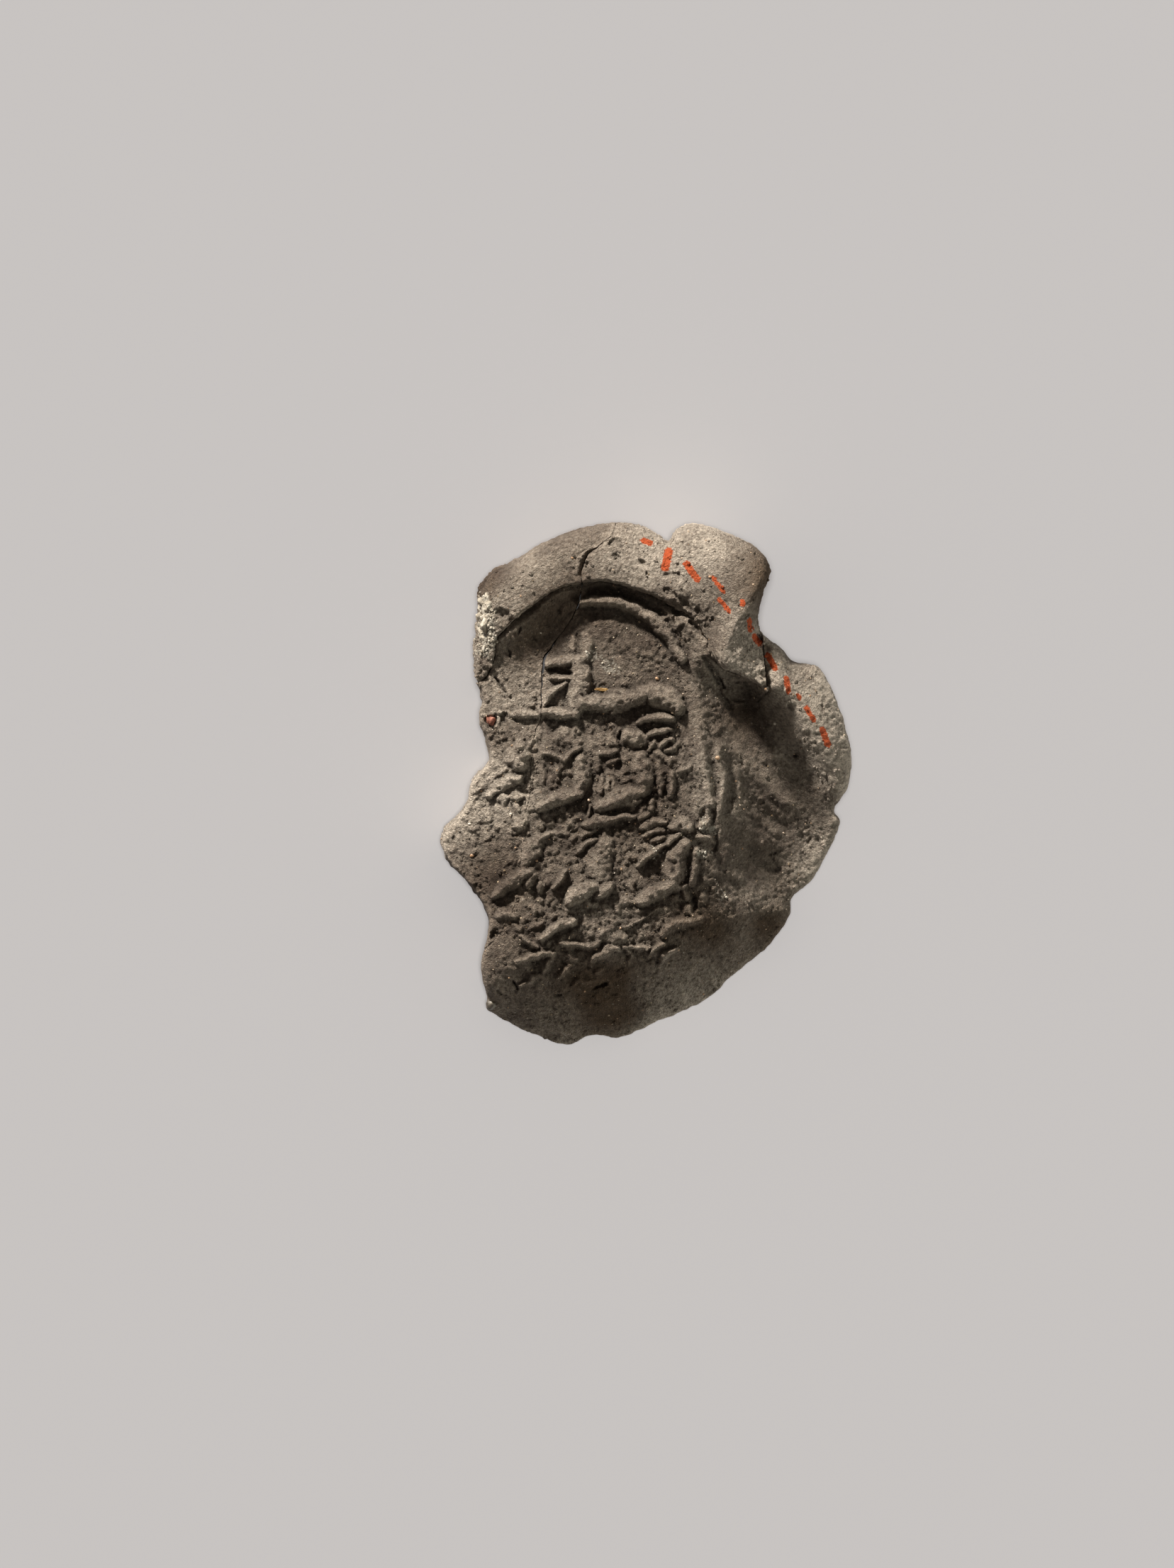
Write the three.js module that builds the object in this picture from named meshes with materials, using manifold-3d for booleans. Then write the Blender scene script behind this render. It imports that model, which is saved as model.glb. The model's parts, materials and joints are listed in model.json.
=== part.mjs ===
// A clay sealing: a lump of Nile mud pressed with an oval seal, broken on its left side.
// It lies on its back. +X is to the right of the seal's face, +Y to its top, +Z out of the face.

import * as THREE from 'three';
import { mergeVertices } from 'three/addons/utils/BufferGeometryUtils.js';
import Module from 'manifold-3d';

const wasm = await Module();
wasm.setup();

// Driving dimensions, in millimetres
const sealingWidth = 34.5;
const sealingLength = 44;
const sealingHeight = 13;

// Edges and cracks of the dried clay
const seamGap = 0.16;
const footGap = 0.22;
const lipThickness = 0.9;
const edgeRollWidth = 3;
const undercutReach = 9;
const rimUndercutReach = 4.5;
const rimFootDepth = 0.6;
const overrun = 4;

// The seal's print
const borderWidth = 1.2;
const borderHeight = 0.75;
const sideBorderWidth = 2.2;
const stampLineWidth = 1.1;
const faintLineHeight = 0.27;
const jackalWidth = 1.4;
const jackalHeight = 0.8;
const captiveStroke = 1.4;
const captiveHeight = 0.65;
const captivePitch = 5.3;
const captiveRow = 7.5;
const strokeSink = 0.3;
const strokeStep = 1.5;

// The cord that ran behind the clay, and left its groove there
const cordDiameter = 3.4;
const cordDepth = 1.1;
const cordPlaceShare = -0.06;
const cordLeanShare = 0.1;

// Things caught in the clay
const inclusionGap = 0.12;
const redGrainDiameter = 0.8;
const pebbleDiameter = 0.95;
const pebbleDepthShare = 0.35;
const strawDiameter = 0.34;
const strawRiseShare = 0.3;
const crustThickness = 0.35;

// How a stroke of the print tapers to its ends, and its section: places across, then up
const strokeTaperShare = 0.75;
const strokeEndPower = 4;
const strokeSectionShares = [[-100, -100], [-60, 70], [0, 100], [60, 70], [100, -100]];

// How far the lime crust thins out towards its edges
const crustDomeShare = 0.8;

// How finely the forms are cut
const stepsPerPlace = 2;
const railSteps = 42;
const strawSides = 8;
const cordSides = 16;
const grainDetail = 1;

const percent = 0.01;

// The pad's outline, clockwise from the fold at the upper right. The stretch under the rim
// is cut away later. Columns: x, y, how far the top rolls over, how high the edge is lifted.
const outlineShares = [
  [28, 28.8, 30, 60],
  [32.5, 25.8, 30, 60],
  [35.7, 23.5, 30, 60],
  [41.8, 22.2, 40, 60],
  [44.8, 18.6, 40, 60],
  [47.9, 12.4, 40, 60],
  [50, 5.1, 40, 60],
  [49.1, -0.8, 40, 55],
  [46, -4.9, 40, 55],
  [47.3, -6.8, 30, 50],
  [44.8, -12.4, 30, 50],
  [40.4, -18.6, 30, 50],
  [35.6, -21.9, 30, 45],
  [35.2, -25.1, 40, 40],
  [30.4, -30.7, 40, 40],
  [21.5, -36.5, 40, 40],
  [17, -40, 40, 40],
  [10.5, -43, 40, 40],
  [0.2, -46.4, 40, 40],
  [-6.7, -48.6, 40, 40],
  [-12.9, -48.1, 40, 40],
  [-19.1, -50, 40, 40],
  [-25.9, -48.4, 50, 40],
  [-35.9, -44.6, 50, 40],
  [-38.7, -43, 40, 35],
  [-38.3, -41.1, 30, 30],
  [-39.9, -37.6, 20, 25],
  [-39.7, -33, 10, 20],
  [-38.1, -27.8, 10, 15],
  [-39, -23.8, 10, 15],
  [-43.5, -18.5, 10, 20],
  [-47.6, -14.9, 10, 30],
  [-50, -10.5, 20, 40],
  [-46.2, -6.8, 10, 30],
  [-43.6, -4.1, 10, 20],
  [-42.3, 0.5, 10, 15],
  [-38, 4.3, 10, 10],
  [-38.1, 7.3, 10, 10],
  [-40.4, 12.2, 10, 15],
  [-39.9, 16.8, 10, 20],
  [-41.6, 20.8, 20, 20],
  [-36.3, 30.5, 30, 30],
  [-27.7, 38.6, 30, 30],
  [-13.9, 42.7, 30, 30],
  [3.3, 42.7, 30, 30],
  [20.4, 37.3, 30, 30],
];

// Where the outline's rays start from
const padCentreShares = [-1.9, 0.8];

// The rim, from its lower left end round the top to the fold. Columns: foot x and y,
// outer edge x and y, crest height, place of the crest across the rim, lift of the edge,
// and how full the inner side stands: 100 is a straight slope, 500 a steep lip.
const rimShares = [
  [-40.8, 19.4, -41.6, 20.9, 61, 40, 40, 220],
  [-39, 20.1, -41.9, 24.3, 63, 35, 35, 220],
  [-36.8, 23.8, -41.2, 29.2, 67, 25, 35, 250],
  [-36.3, 27.4, -40.7, 33.9, 71, 20, 40, 300],
  [-34.2, 29.5, -40.4, 36.8, 75, 14, 45, 400],
  [-30.2, 32.4, -38.3, 39.9, 78, 12, 45, 500],
  [-25.9, 34.9, -32.1, 42.7, 79, 10, 45, 500],
  [-20.8, 37.2, -24.2, 46.4, 79, 10, 45, 500],
  [-15.6, 38.2, -15.6, 48.9, 78, 10, 45, 500],
  [-10.5, 38.5, -8.4, 49.9, 78, 10, 45, 500],
  [-5, 37.6, -1.4, 49.5, 78, 11, 45, 500],
  [0.2, 36.2, 3.1, 47.7, 79, 12, 45, 500],
  [5, 34.5, 5.5, 46.4, 81, 16, 45, 350],
  [7.6, 33.5, 7.2, 48.4, 83, 28, 50, 180],
  [9.8, 32.7, 11.2, 49.6, 86, 36, 55, 150],
  [12.5, 30.5, 19.8, 47.8, 92, 45, 60, 140],
  [14.8, 27.6, 27.7, 44.3, 97, 58, 60, 150],
  [15.6, 24.9, 30.2, 40.9, 100, 60, 60, 220],
  [18.7, 22, 28.5, 36.5, 96, 30, 60, 600],
  [22.5, 20.9, 27.3, 32.7, 92, 16, 60, 600],
  [25.9, 19.6, 27.3, 30.3, 88, 10, 60, 600],
  [29.4, 17.4, 28, 28.8, 86, 10, 60, 600],
];

// Places across the rim on its face and back, and how full its outer side stands
const rimAcrossShares = [0, 2, 6, 12, 22, 34, 48, 62, 78, 90, 97, 100];
const rimUnderShares = [90, 70, 0];
const rimFullness = 3;

// Rings of the pad, from the middle to the edge
const ringShares = [16, 34, 50, 63, 74, 83, 90, 95.5, 98.7, 100];
const underRingShares = [96, 87, 74, 55];

// The long drying crack, from the rim's outer edge down to the broken side
const breakShares = [
  [-6.8, 54],
  [-8, 47.4],
  [-10, 46.3],
  [-11.9, 45.1],
  [-14.6, 43.7],
  [-16, 40.5],
  [-15.6, 38.1],
  [-16.8, 33.5],
  [-18.7, 30.8],
  [-22.2, 26.8],
  [-24.6, 23.5],
  [-25.3, 19.7],
  [-25.6, 12.7],
  [-27.3, 8.4],
  [-28, 3.5],
  [-28.2, -1.9],
  [-29.7, -8.4],
  [-30.2, -12.7],
  [-30.8, -20.1],
  [-31.8, -23.2],
  [-33.8, -26.5],
  [-36.3, -29.2],
  [-45, -36],
];

// Heights of the pad's face along the lines that shape it: x, y, height
const heightShares = [
  // The flat field that the seal pressed
  [-22.5, 22, 65], [-10.5, 29, 67.5], [2.5, 24, 68], [-19, 14, 66], [-2, 7.5, 69], [9.5, 14, 68],
  [-21, 1, 68], [-5, -6, 70], [9.5, -2, 69], [-22.5, -13, 68], [-5, -19.5, 69], [9.5, -17, 68],
  [-19, -27.5, 67], [-2, -28, 66],
  // Its edge under the rim and down the right
  [-34.4, 25.1, 65], [-26.5, 23.6, 64], [-24.8, 28.2, 65], [-20.1, 33.2, 66.5], [-16.5, 35.4, 67],
  [-34.2, 29.3, 73], [-30.2, 32.2, 75], [-25.9, 34.7, 75.5], [-20.8, 37, 75], [-15.6, 38, 72],
  [-30.4, 27.6, 69], [-26.2, 31.2, 70], [-10.5, 38, 68], [-5, 37, 67.5], [0.2, 35.7, 69], [5, 34, 74],
  [7.6, 33, 77], [9.8, 32, 79], [12.3, 30, 81], [14.4, 27.4, 81], [15.2, 24.6, 80], [6, 29.5, 71],
  [10.5, 26.5, 73], [12.5, 21, 70], [14.5, 15, 67], [18, 20.3, 62], [17.5, 6, 67], [18, -4.5, 66],
  [16, -15.5, 64], [14.5, -23.5, 62],
  // The hollow that a finger left beside it
  [22, 17, 56], [25, 18, 55], [24, 8, 54], [26, 0, 52], [27, -8.5, 48], [24, -17, 49], [28.5, 13, 55],
  [31.5, 6, 54], [33, -3, 47], [38.5, -3, 47], [35, -9, 41], [31, -17, 38],
  // The flank and the crest that run from the fold into the wing
  [31.5, 14, 64], [34.5, 10, 62], [37.5, 6, 58], [41, 1, 53], [43.5, -4, 49], [31, 18.5, 84],
  [34.5, 15.8, 79], [37.5, 12, 76], [40.3, 8.5, 73.5], [43.2, 4.5, 69], [45.8, -1, 60],
  // The wing's edge
  [30, 25, 83], [35, 21.5, 78], [42.5, 18, 75], [46, 12, 73], [48.5, 5, 69], [46.5, -7, 48],
  [44.5, -12, 41], [40, -18, 35], [35, -22, 34],
  // The lower crest, where the clay turns down
  [33.5, -25, 37], [24.5, -26, 50], [13.5, -29.5, 59], [3.5, -32.5, 62], [-9, -33, 63],
  [-23.5, -34.5, 61], [-31, -38, 56], [-37, -38.5, 53],
  // The slope below it, and its thin edge
  [29, -29.5, 32], [18.5, -35, 31], [8.5, -38.5, 37], [-3.5, -39.5, 43], [-15.5, -41.5, 44],
  [-27.5, -42.5, 42], [21.5, -36.5, 25], [10.5, -43, 22], [0, -46.5, 20], [-13, -48, 22],
  [-19, -50, 18], [-26, -48.5, 22], [-36, -44.5, 28],
  // The broken left side
  [-30, 14, 65], [-38, 15.5, 62], [-40.5, 20.5, 61], [-36.5, 24.5, 65], [-33, 3.5, 67],
  [-37.5, 5.5, 62], [-36.5, -3, 64], [-43, -3, 58], [-33, -10.5, 66], [-42.5, -10.5, 58],
  [-49.5, -10.5, 48], [-43, -18, 57], [-33.5, -21, 65], [-37, -27.5, 62], [-39, -34.5, 57],
];

// The seal's raised border line, how it fades down the right side, and the line of the
// stamp's own edge outside it
const borderShares = [
  [-15.7, 34.5], [-13, 34.8], [-9.6, 34.8], [-6.4, 34.5], [-3.2, 33.6],
  [0, 32.3], [2.6, 30.5], [5.2, 28.4], [7.2, 25.9], [9.3, 23],
];
const sideBorderShares = [
  [9.6, 25.2], [11.3, 21.8], [12.5, 17], [13.3, 11.6], [13.6, 6.1], [14.2, 0.9], [14.8, -3.2],
];
const stampLineShares = [[18.3, 5.9], [18.3, 2.3], [18, -3]];

// The lying jackal. Columns: the line's places, its width and height as shares of the jackal's
const jackalShares = [
  { part: 'ear', path: [[-14.8, 28.4], [-14.2, 26.4], [-14.5, 24.1]], width: 78, height: 45 },
  { part: 'farEar', path: [[-17.7, 27.7], [-17.7, 25.5]], width: 48, height: 24 },
  { part: 'head', path: [[-14.5, 23.9], [-18, 23.6], [-21.2, 23.2], [-24.1, 22.7]], width: 68, height: 60 },
  { part: 'neck', path: [[-16.2, 23.2], [-15.9, 20.5], [-17.1, 13.9]], width: 135, height: 68 },
  { part: 'collar', path: [[-23.2, 20], [-18.6, 20]], width: 40, height: 50 },
  { part: 'ribbon', path: [[-19.4, 19.1], [-23.8, 16.8], [-24.9, 15.2]], width: 48, height: 54 },
  { part: 'foreleg', path: [[-16.8, 13.4], [-20.9, 13.4], [-24.9, 13.9]], width: 78, height: 86 },
  { part: 'paw', path: [[-26.4, 13.2], [-29.3, 13.4], [-32.2, 13.2]], width: 58, height: 50 },
  { part: 'back', path: [[-15.7, 15.5], [-10.4, 15.7], [-5.2, 15.9], [-1.4, 16.4]], width: 135, height: 110 },
  { part: 'haunch', path: [[-0.6, 17.3], [2.3, 17], [5.5, 16.1], [7.8, 14.8]], width: 155, height: 102 },
  { part: 'hindFoot', path: [[-1.4, 11.8], [2, 12.7], [6.4, 12.5]], width: 58, height: 80 },
  { part: 'tail', path: [[0.6, 9.3], [3.2, 10], [5.8, 10.5]], width: 48, height: 70 },
];

// A kneeling captive with his arms bound behind him, round his hip, in shares of the pitch
// between captives and between rows. Width and height are shares of the captive's stroke.
const captiveShares = [
  { part: 'head', path: [[-27, 64], [-6, 66]], width: 110, height: 90 },
  { part: 'hair', path: [[2, 78], [18, 68]], width: 45, height: 60 },
  { part: 'chest', path: [[-4, 48], [5, 24], [-2, 0]], width: 115, height: 95 },
  { part: 'thigh', path: [[4, -2], [-34, -6], [-72, -19]], width: 100, height: 110 },
  { part: 'boundArm', path: [[8, 46], [26, 24], [20, 4]], width: 45, height: 60 },
  { part: 'rope', path: [[42, 34], [42, -4]], width: 40, height: 50 },
];

// The nine captives: place of the hip, size, and how strongly the seal printed them
const captivePlaceShares = [
  [-28.5, -0.8, 85, 80], [-14.8, -2, 100, 100], [0.2, -2, 100, 100],
  [-28.5, -17.2, 95, 85], [-11.8, -19.3, 100, 105], [7.2, -19, 105, 105],
  [-29, -30.2, 80, 50], [-14, -31, 85, 55], [3, -31, 85, 55],
];

// Things caught in the clay: places of the grains, and the straw's two ends
const redGrainShares = [-37.6, 12];
const pebbleShares = [-37.6, -42.2];
const strawShares = [[-12.5, 17.9], [-6.7, 17.9]];
const strawTaperShare = 0.45;

// The lime crust, as the part of the rim that it covers: along, then across
const crustAlongShares = [7, 19];
const crustAcrossShares = [48, 88];
const crustSteps = 7;

const place = ([x, y]) =>
  new THREE.Vector2(x * percent * sealingWidth, y * percent * sealingLength);

const roundOver = (share, fullness = 2) =>
  share >= 1 ? 1 : Math.pow(1 - Math.pow(1 - Math.max(share, 0), fullness), 1 / fullness);

// Solves a square system of equations by elimination, largest pivot first.
function solve(rows) {
  const count = rows.length;
  for (let column = 0; column < count; column++) {
    let best = column;
    for (let row = column + 1; row < count; row++) {
      if (Math.abs(rows[row][column]) > Math.abs(rows[best][column])) best = row;
    }
    [rows[column], rows[best]] = [rows[best], rows[column]];
    for (let row = 0; row < count; row++) {
      if (row === column) continue;
      const factor = rows[row][column] / rows[column][column];
      for (let k = column; k <= count; k++) rows[row][k] -= factor * rows[column][k];
    }
  }
  return rows.map((row, index) => row[count] / row[index]);
}

// The smoothest sheet that passes through every given height: a thin-plate spline.
function smoothSheet(shares) {
  const bend = (a, b) => {
    const distance = Math.hypot(a[0] - b[0], a[1] - b[1]);
    return distance > 0 ? distance * distance * Math.log(distance) : 0;
  };
  const rows = shares.map((guide) => [
    ...shares.map((other) => bend(guide, other)), 1, guide[0], guide[1], guide[2],
  ]);
  for (const side of [() => 1, (guide) => guide[0], (guide) => guide[1]]) {
    rows.push([...shares.map(side), 0, 0, 0, 0]);
  }
  const weights = solve(rows);
  const [level, slopeX, slopeY] = weights.slice(shares.length);
  return (x, y) => {
    const spot = [x / sealingWidth / percent, y / sealingLength / percent];
    let height = level + slopeX * spot[0] + slopeY * spot[1];
    shares.forEach((guide, index) => {
      height += weights[index] * bend(spot, guide);
    });
    return height * percent * sealingHeight;
  };
}

const padHeight = smoothSheet(heightShares);

// Turns a list of corners and a list of triangles into a geometry.
function meshOf(corners, triangles) {
  const geometry = new THREE.BufferGeometry();
  geometry.setAttribute('position', new THREE.Float32BufferAttribute(corners.flat(), 3));
  geometry.setIndex(triangles.flat());
  return geometry;
}

// Skins closed rings, each running clockwise as seen along the way they follow, and caps both ends.
function loft(rings, firstTip, lastTip) {
  const size = rings[0].length;
  const corners = rings.flat();
  const triangles = [];
  for (let ring = 0; ring + 1 < rings.length; ring++) {
    for (let i = 0; i < size; i++) {
      const a = ring * size + i;
      const b = ring * size + ((i + 1) % size);
      triangles.push([a, b, b + size], [a, b + size, a + size]);
    }
  }
  const last = (rings.length - 1) * size;
  const firstPole = corners.push(firstTip) - 1;
  const lastPole = corners.push(lastTip) - 1;
  for (let i = 0; i < size; i++) {
    const next = (i + 1) % size;
    triangles.push([firstPole, next, i], [lastPole, last + i, last + next]);
  }
  return meshOf(corners, triangles);
}

const middleOf = (ring) =>
  ring.reduce((sum, corner) => sum.map((value, axis) => value + corner[axis] / ring.length), [0, 0, 0]);

function solidOf(geometry) {
  const bare = geometry.clone();
  bare.deleteAttribute('normal');
  bare.deleteAttribute('uv');
  const merged = mergeVertices(bare);
  return new wasm.Manifold(new wasm.Mesh({
    numProp: 3,
    vertProperties: new Float32Array(merged.attributes.position.array),
    triVerts: new Uint32Array(merged.index.array),
  }));
}

function geometryOf(solid) {
  const mesh = solid.getMesh();
  const geometry = new THREE.BufferGeometry();
  geometry.setAttribute('position', new THREE.Float32BufferAttribute(mesh.vertProperties, 3));
  geometry.setIndex(new THREE.Uint32BufferAttribute(mesh.triVerts, 1));
  return geometry;
}

// A block of the given plan, standing well past the clay below and above.
function block(corners) {
  const height = sealingHeight + 2 * overrun;
  const prism = new THREE.ExtrudeGeometry(new THREE.Shape(corners), { depth: height, bevelEnabled: false });
  return solidOf(prism.translate(0, 0, -overrun));
}

// Moves an open line sideways: to its left as it runs for a positive distance.
function beside(line, distance) {
  return line.map((spot, index) => {
    const before = line[Math.max(index - 1, 0)];
    const after = line[Math.min(index + 1, line.length - 1)];
    const along = after.clone().sub(before).normalize();
    return new THREE.Vector2(spot.x - along.y * distance, spot.y + along.x * distance);
  });
}

// The pad: rings of points run from the middle of its face, over the edge and in under the back.
function padBody() {
  const centre = place(padCentreShares);
  const rows = outlineShares.map(([x, y, roll, lift]) => {
    const spot = place([x, y]);
    return { spot, roll: roll * percent, lift: lift * percent };
  });
  const outline = new THREE.CatmullRomCurve3(
    rows.map(({ spot }) => new THREE.Vector3(spot.x, spot.y, 0)), true, 'centripetal');
  const finish = new THREE.CatmullRomCurve3(
    rows.map(({ roll, lift }) => new THREE.Vector3(roll, lift, 0)), true);
  const steps = stepsPerPlace * rows.length;
  const edge = Array.from({ length: steps }, (_, index) => {
    const along = index / steps;
    const spot = outline.getPoint(along);
    const { x: roll, y: lift } = finish.getPoint(along);
    const top = padHeight(spot.x, spot.y);
    const low = lift * top;
    return { spot, low, high: THREE.MathUtils.lerp(top, low + lipThickness, roll), roll, lift };
  });

  const pointAt = (rim, share) => {
    const x = THREE.MathUtils.lerp(centre.x, rim.spot.x, share);
    const y = THREE.MathUtils.lerp(centre.y, rim.spot.y, share);
    const inset = (1 - share) * Math.hypot(rim.spot.x - centre.x, rim.spot.y - centre.y);
    return { x, y, inset };
  };
  const topRing = (share) => edge.map((rim) => {
    const { x, y, inset } = pointAt(rim, share);
    const rolled = roundOver(inset / (edgeRollWidth * rim.roll));
    return [x, y, rim.high + (padHeight(x, y) - rim.high) * rolled];
  });
  const backRing = (share) => edge.map((rim) => {
    const { x, y, inset } = pointAt(rim, share);
    return [x, y, rim.low * (1 - roundOver(inset / (undercutReach * rim.lift)))];
  });
  const lip = edge.map((rim) => [rim.spot.x, rim.spot.y, rim.low]);
  const rings = [
    ...ringShares.map((share) => topRing(share * percent)),
    lip,
    ...underRingShares.map((share) => backRing(share * percent)),
  ];
  return solidOf(loft(rings, [centre.x, centre.y, padHeight(centre.x, centre.y)], [centre.x, centre.y, 0]));
}

// The rim's sections, read anywhere along it: both rails, and the heights between them.
function rimRails() {
  const curve = (pick) => new THREE.CatmullRomCurve3(
    rimShares.map((row) => new THREE.Vector3(...pick(row))), false, 'centripetal');
  const flat = (shares) => {
    const spot = place(shares);
    return [spot.x, spot.y, 0];
  };
  const foot = curve((row) => flat(row.slice(0, 2)));
  const outer = curve((row) => flat(row.slice(2, 4)));
  const heights = curve((row) => row.slice(4, 7).map((share) => share * percent));
  const fullnessAt = (along) => {
    const spot = along * (rimShares.length - 1);
    const row = Math.min(Math.floor(spot), rimShares.length - 2);
    return THREE.MathUtils.lerp(rimShares[row][7], rimShares[row + 1][7], spot - row) * percent;
  };
  return (along) => {
    const footSpot = foot.getPoint(along);
    const outerSpot = outer.getPoint(along);
    const { x: crest, y: crestPlace, z: lift } = heights.getPoint(along);
    const crestHeight = crest * sealingHeight;
    const low = crestHeight * lift;
    return {
      footSpot,
      outerSpot,
      crestHeight,
      crestPlace,
      low,
      high: low + lipThickness,
      footHeight: padHeight(footSpot.x, footSpot.y) - rimFootDepth,
      width: footSpot.distanceTo(outerSpot),
      innerFullness: fullnessAt(along),
    };
  };
}

const rimAt = rimRails();

// A point of the rim's rolled face, lifted off it by a given height.
function rimFace(along, across, lifted = 0) {
  const rim = rimAt(along);
  const spot = rim.footSpot.clone().lerp(rim.outerSpot, across);
  const inner = across < rim.crestPlace;
  const from = inner ? rim.footHeight : rim.high;
  const reach = inner ? across / rim.crestPlace : (1 - across) / (1 - rim.crestPlace);
  const fullness = inner ? rim.innerFullness : rimFullness;
  return [spot.x, spot.y, from + (rim.crestHeight - from) * roundOver(reach, fullness) + lifted];
}

function rimBack(along, across) {
  const rim = rimAt(along);
  const spot = rim.footSpot.clone().lerp(rim.outerSpot, across);
  return [spot.x, spot.y, rim.low * (1 - roundOver((1 - across) * rim.width / rimUndercutReach))];
}

function rimBody() {
  const rings = Array.from({ length: railSteps + 1 }, (_, index) => {
    const along = index / railSteps;
    return [
      ...rimAcrossShares.map((share) => rimFace(along, share * percent)),
      rimBack(along, 1),
      ...rimUnderShares.map((share) => rimBack(along, share * percent)),
    ].reverse();
  });
  return solidOf(loft(rings, middleOf(rings[0]), middleOf(rings[railSteps])));
}

// All that lies on the rim's side of its foot, with a gap towards the pad.
function rimGround() {
  const foot = Array.from({ length: railSteps + 1 }, (_, index) => {
    const { footSpot } = rimAt(index / railSteps);
    return new THREE.Vector2(footSpot.x, footSpot.y);
  });
  const start = rimAt(0).outerSpot;
  const end = rimAt(1).outerSpot;
  const middle = rimAt(0.5).outerSpot;
  const opened = beside(foot, -footGap);
  const fold = new THREE.Vector2(end.x, end.y);
  const foldWay = fold.clone().sub(foot[railSteps]).normalize();
  const foldSide = new THREE.Vector2(foldWay.y, -foldWay.x).multiplyScalar(footGap);
  const far = sealingWidth + sealingLength;
  return block([
    new THREE.Vector2(start.x - overrun, start.y - footGap),
    ...opened,
    foot[railSteps].clone().add(foldSide),
    fold.clone().add(foldSide),
    fold.clone().add(foldSide).addScaledVector(foldWay, overrun),
    new THREE.Vector2(end.x + overrun, middle.y + far),
    new THREE.Vector2(start.x - overrun, middle.y + far),
  ]);
}

// The two sides of the long crack, half a gap away from it.
function crackSides() {
  const line = new THREE.CatmullRomCurve3(
    breakShares.map((shares) => new THREE.Vector3(...place(shares).toArray(), 0)), false, 'centripetal');
  const crack = line.getPoints(stepsPerPlace * breakShares.length).map(({ x, y }) => new THREE.Vector2(x, y));
  const far = sealingWidth + sealingLength;
  const left = beside(crack, -seamGap / 2);
  const right = beside(crack, seamGap / 2);
  const corner = (x, y) => new THREE.Vector2(x, y);
  const below = [corner(-far, -far), corner(far, -far), corner(far, far)];
  return {
    left: block([...left, corner(-far, left.at(-1).y), corner(-far, far)]),
    right: block([...right, corner(-far, right.at(-1).y), ...below]),
  };
}

// A ridge of clay along a line of places, fuller in its middle than at its ends.
function ridge(spots, width, height) {
  const curve = new THREE.CatmullRomCurve3(spots.map(({ x, y }) => new THREE.Vector3(x, y, 0)));
  const steps = Math.max(2, Math.round(curve.getLength() / strokeStep));
  const rings = Array.from({ length: steps + 1 }, (_, index) => {
    const along = index / steps;
    const spot = curve.getPointAt(along);
    const way = curve.getTangentAt(along);
    const taper = Math.sqrt(1 - strokeTaperShare * Math.pow(Math.abs(2 * along - 1), strokeEndPower));
    return strokeSectionShares.map(([across, up]) => {
      const aside = across * percent * taper * width / 2;
      const x = spot.x + way.y * aside;
      const y = spot.y - way.x * aside;
      const lifted = up * percent * (up > 0 ? taper * height : strokeSink);
      return [x, y, padHeight(x, y) + lifted];
    });
  });
  return solidOf(loft(rings, middleOf(rings[0]), middleOf(rings[steps])));
}

function sealBorder() {
  return [
    ridge(borderShares.map(place), borderWidth, borderHeight),
    ridge(sideBorderShares.map(place), sideBorderWidth, faintLineHeight),
    ridge(stampLineShares.map(place), stampLineWidth, faintLineHeight),
  ];
}

function jackal() {
  return jackalShares.map(({ path, width, height }) =>
    ridge(path.map(place), width * percent * jackalWidth, height * percent * jackalHeight));
}

function captive([x, y, size, strength]) {
  const hip = place([x, y]);
  return captiveShares.map(({ path, width, height }) => {
    const spots = path.map(([across, up]) => new THREE.Vector2(
      hip.x + across * percent * size * percent * captivePitch,
      hip.y + up * percent * size * percent * captiveRow));
    const high = height * percent * strength * percent * captiveHeight;
    return ridge(spots, width * percent * captiveStroke, high);
  });
}

function sealPrint() {
  return [...sealBorder(), ...jackal(), ...captivePlaceShares.flatMap(captive)];
}

// The groove that a cord left across the flat back.
function cordGroove() {
  const radius = cordDiameter / 2;
  const cord = new THREE.CylinderGeometry(radius, radius, sealingWidth + 2 * overrun, cordSides);
  cord.rotateZ(Math.PI / 2 + Math.atan(cordLeanShare));
  cord.translate(0, cordPlaceShare * sealingLength, cordDepth - radius);
  return solidOf(cord);
}

function grain(diameter, x, y, z) {
  return new THREE.IcosahedronGeometry(diameter / 2, grainDetail).translate(x, y, z);
}

function straw(diameter) {
  const [from, to] = strawShares.map(place);
  const length = from.distanceTo(to) + diameter - strawDiameter;
  const middle = from.clone().lerp(to, 0.5);
  const stem = new THREE.CylinderGeometry(diameter / 2 * strawTaperShare, diameter / 2, length, strawSides);
  stem.rotateZ(-Math.PI / 2);
  const rest = padHeight(middle.x, middle.y) + strawRiseShare * strawDiameter;
  return stem.translate(middle.x, middle.y, rest);
}

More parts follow.
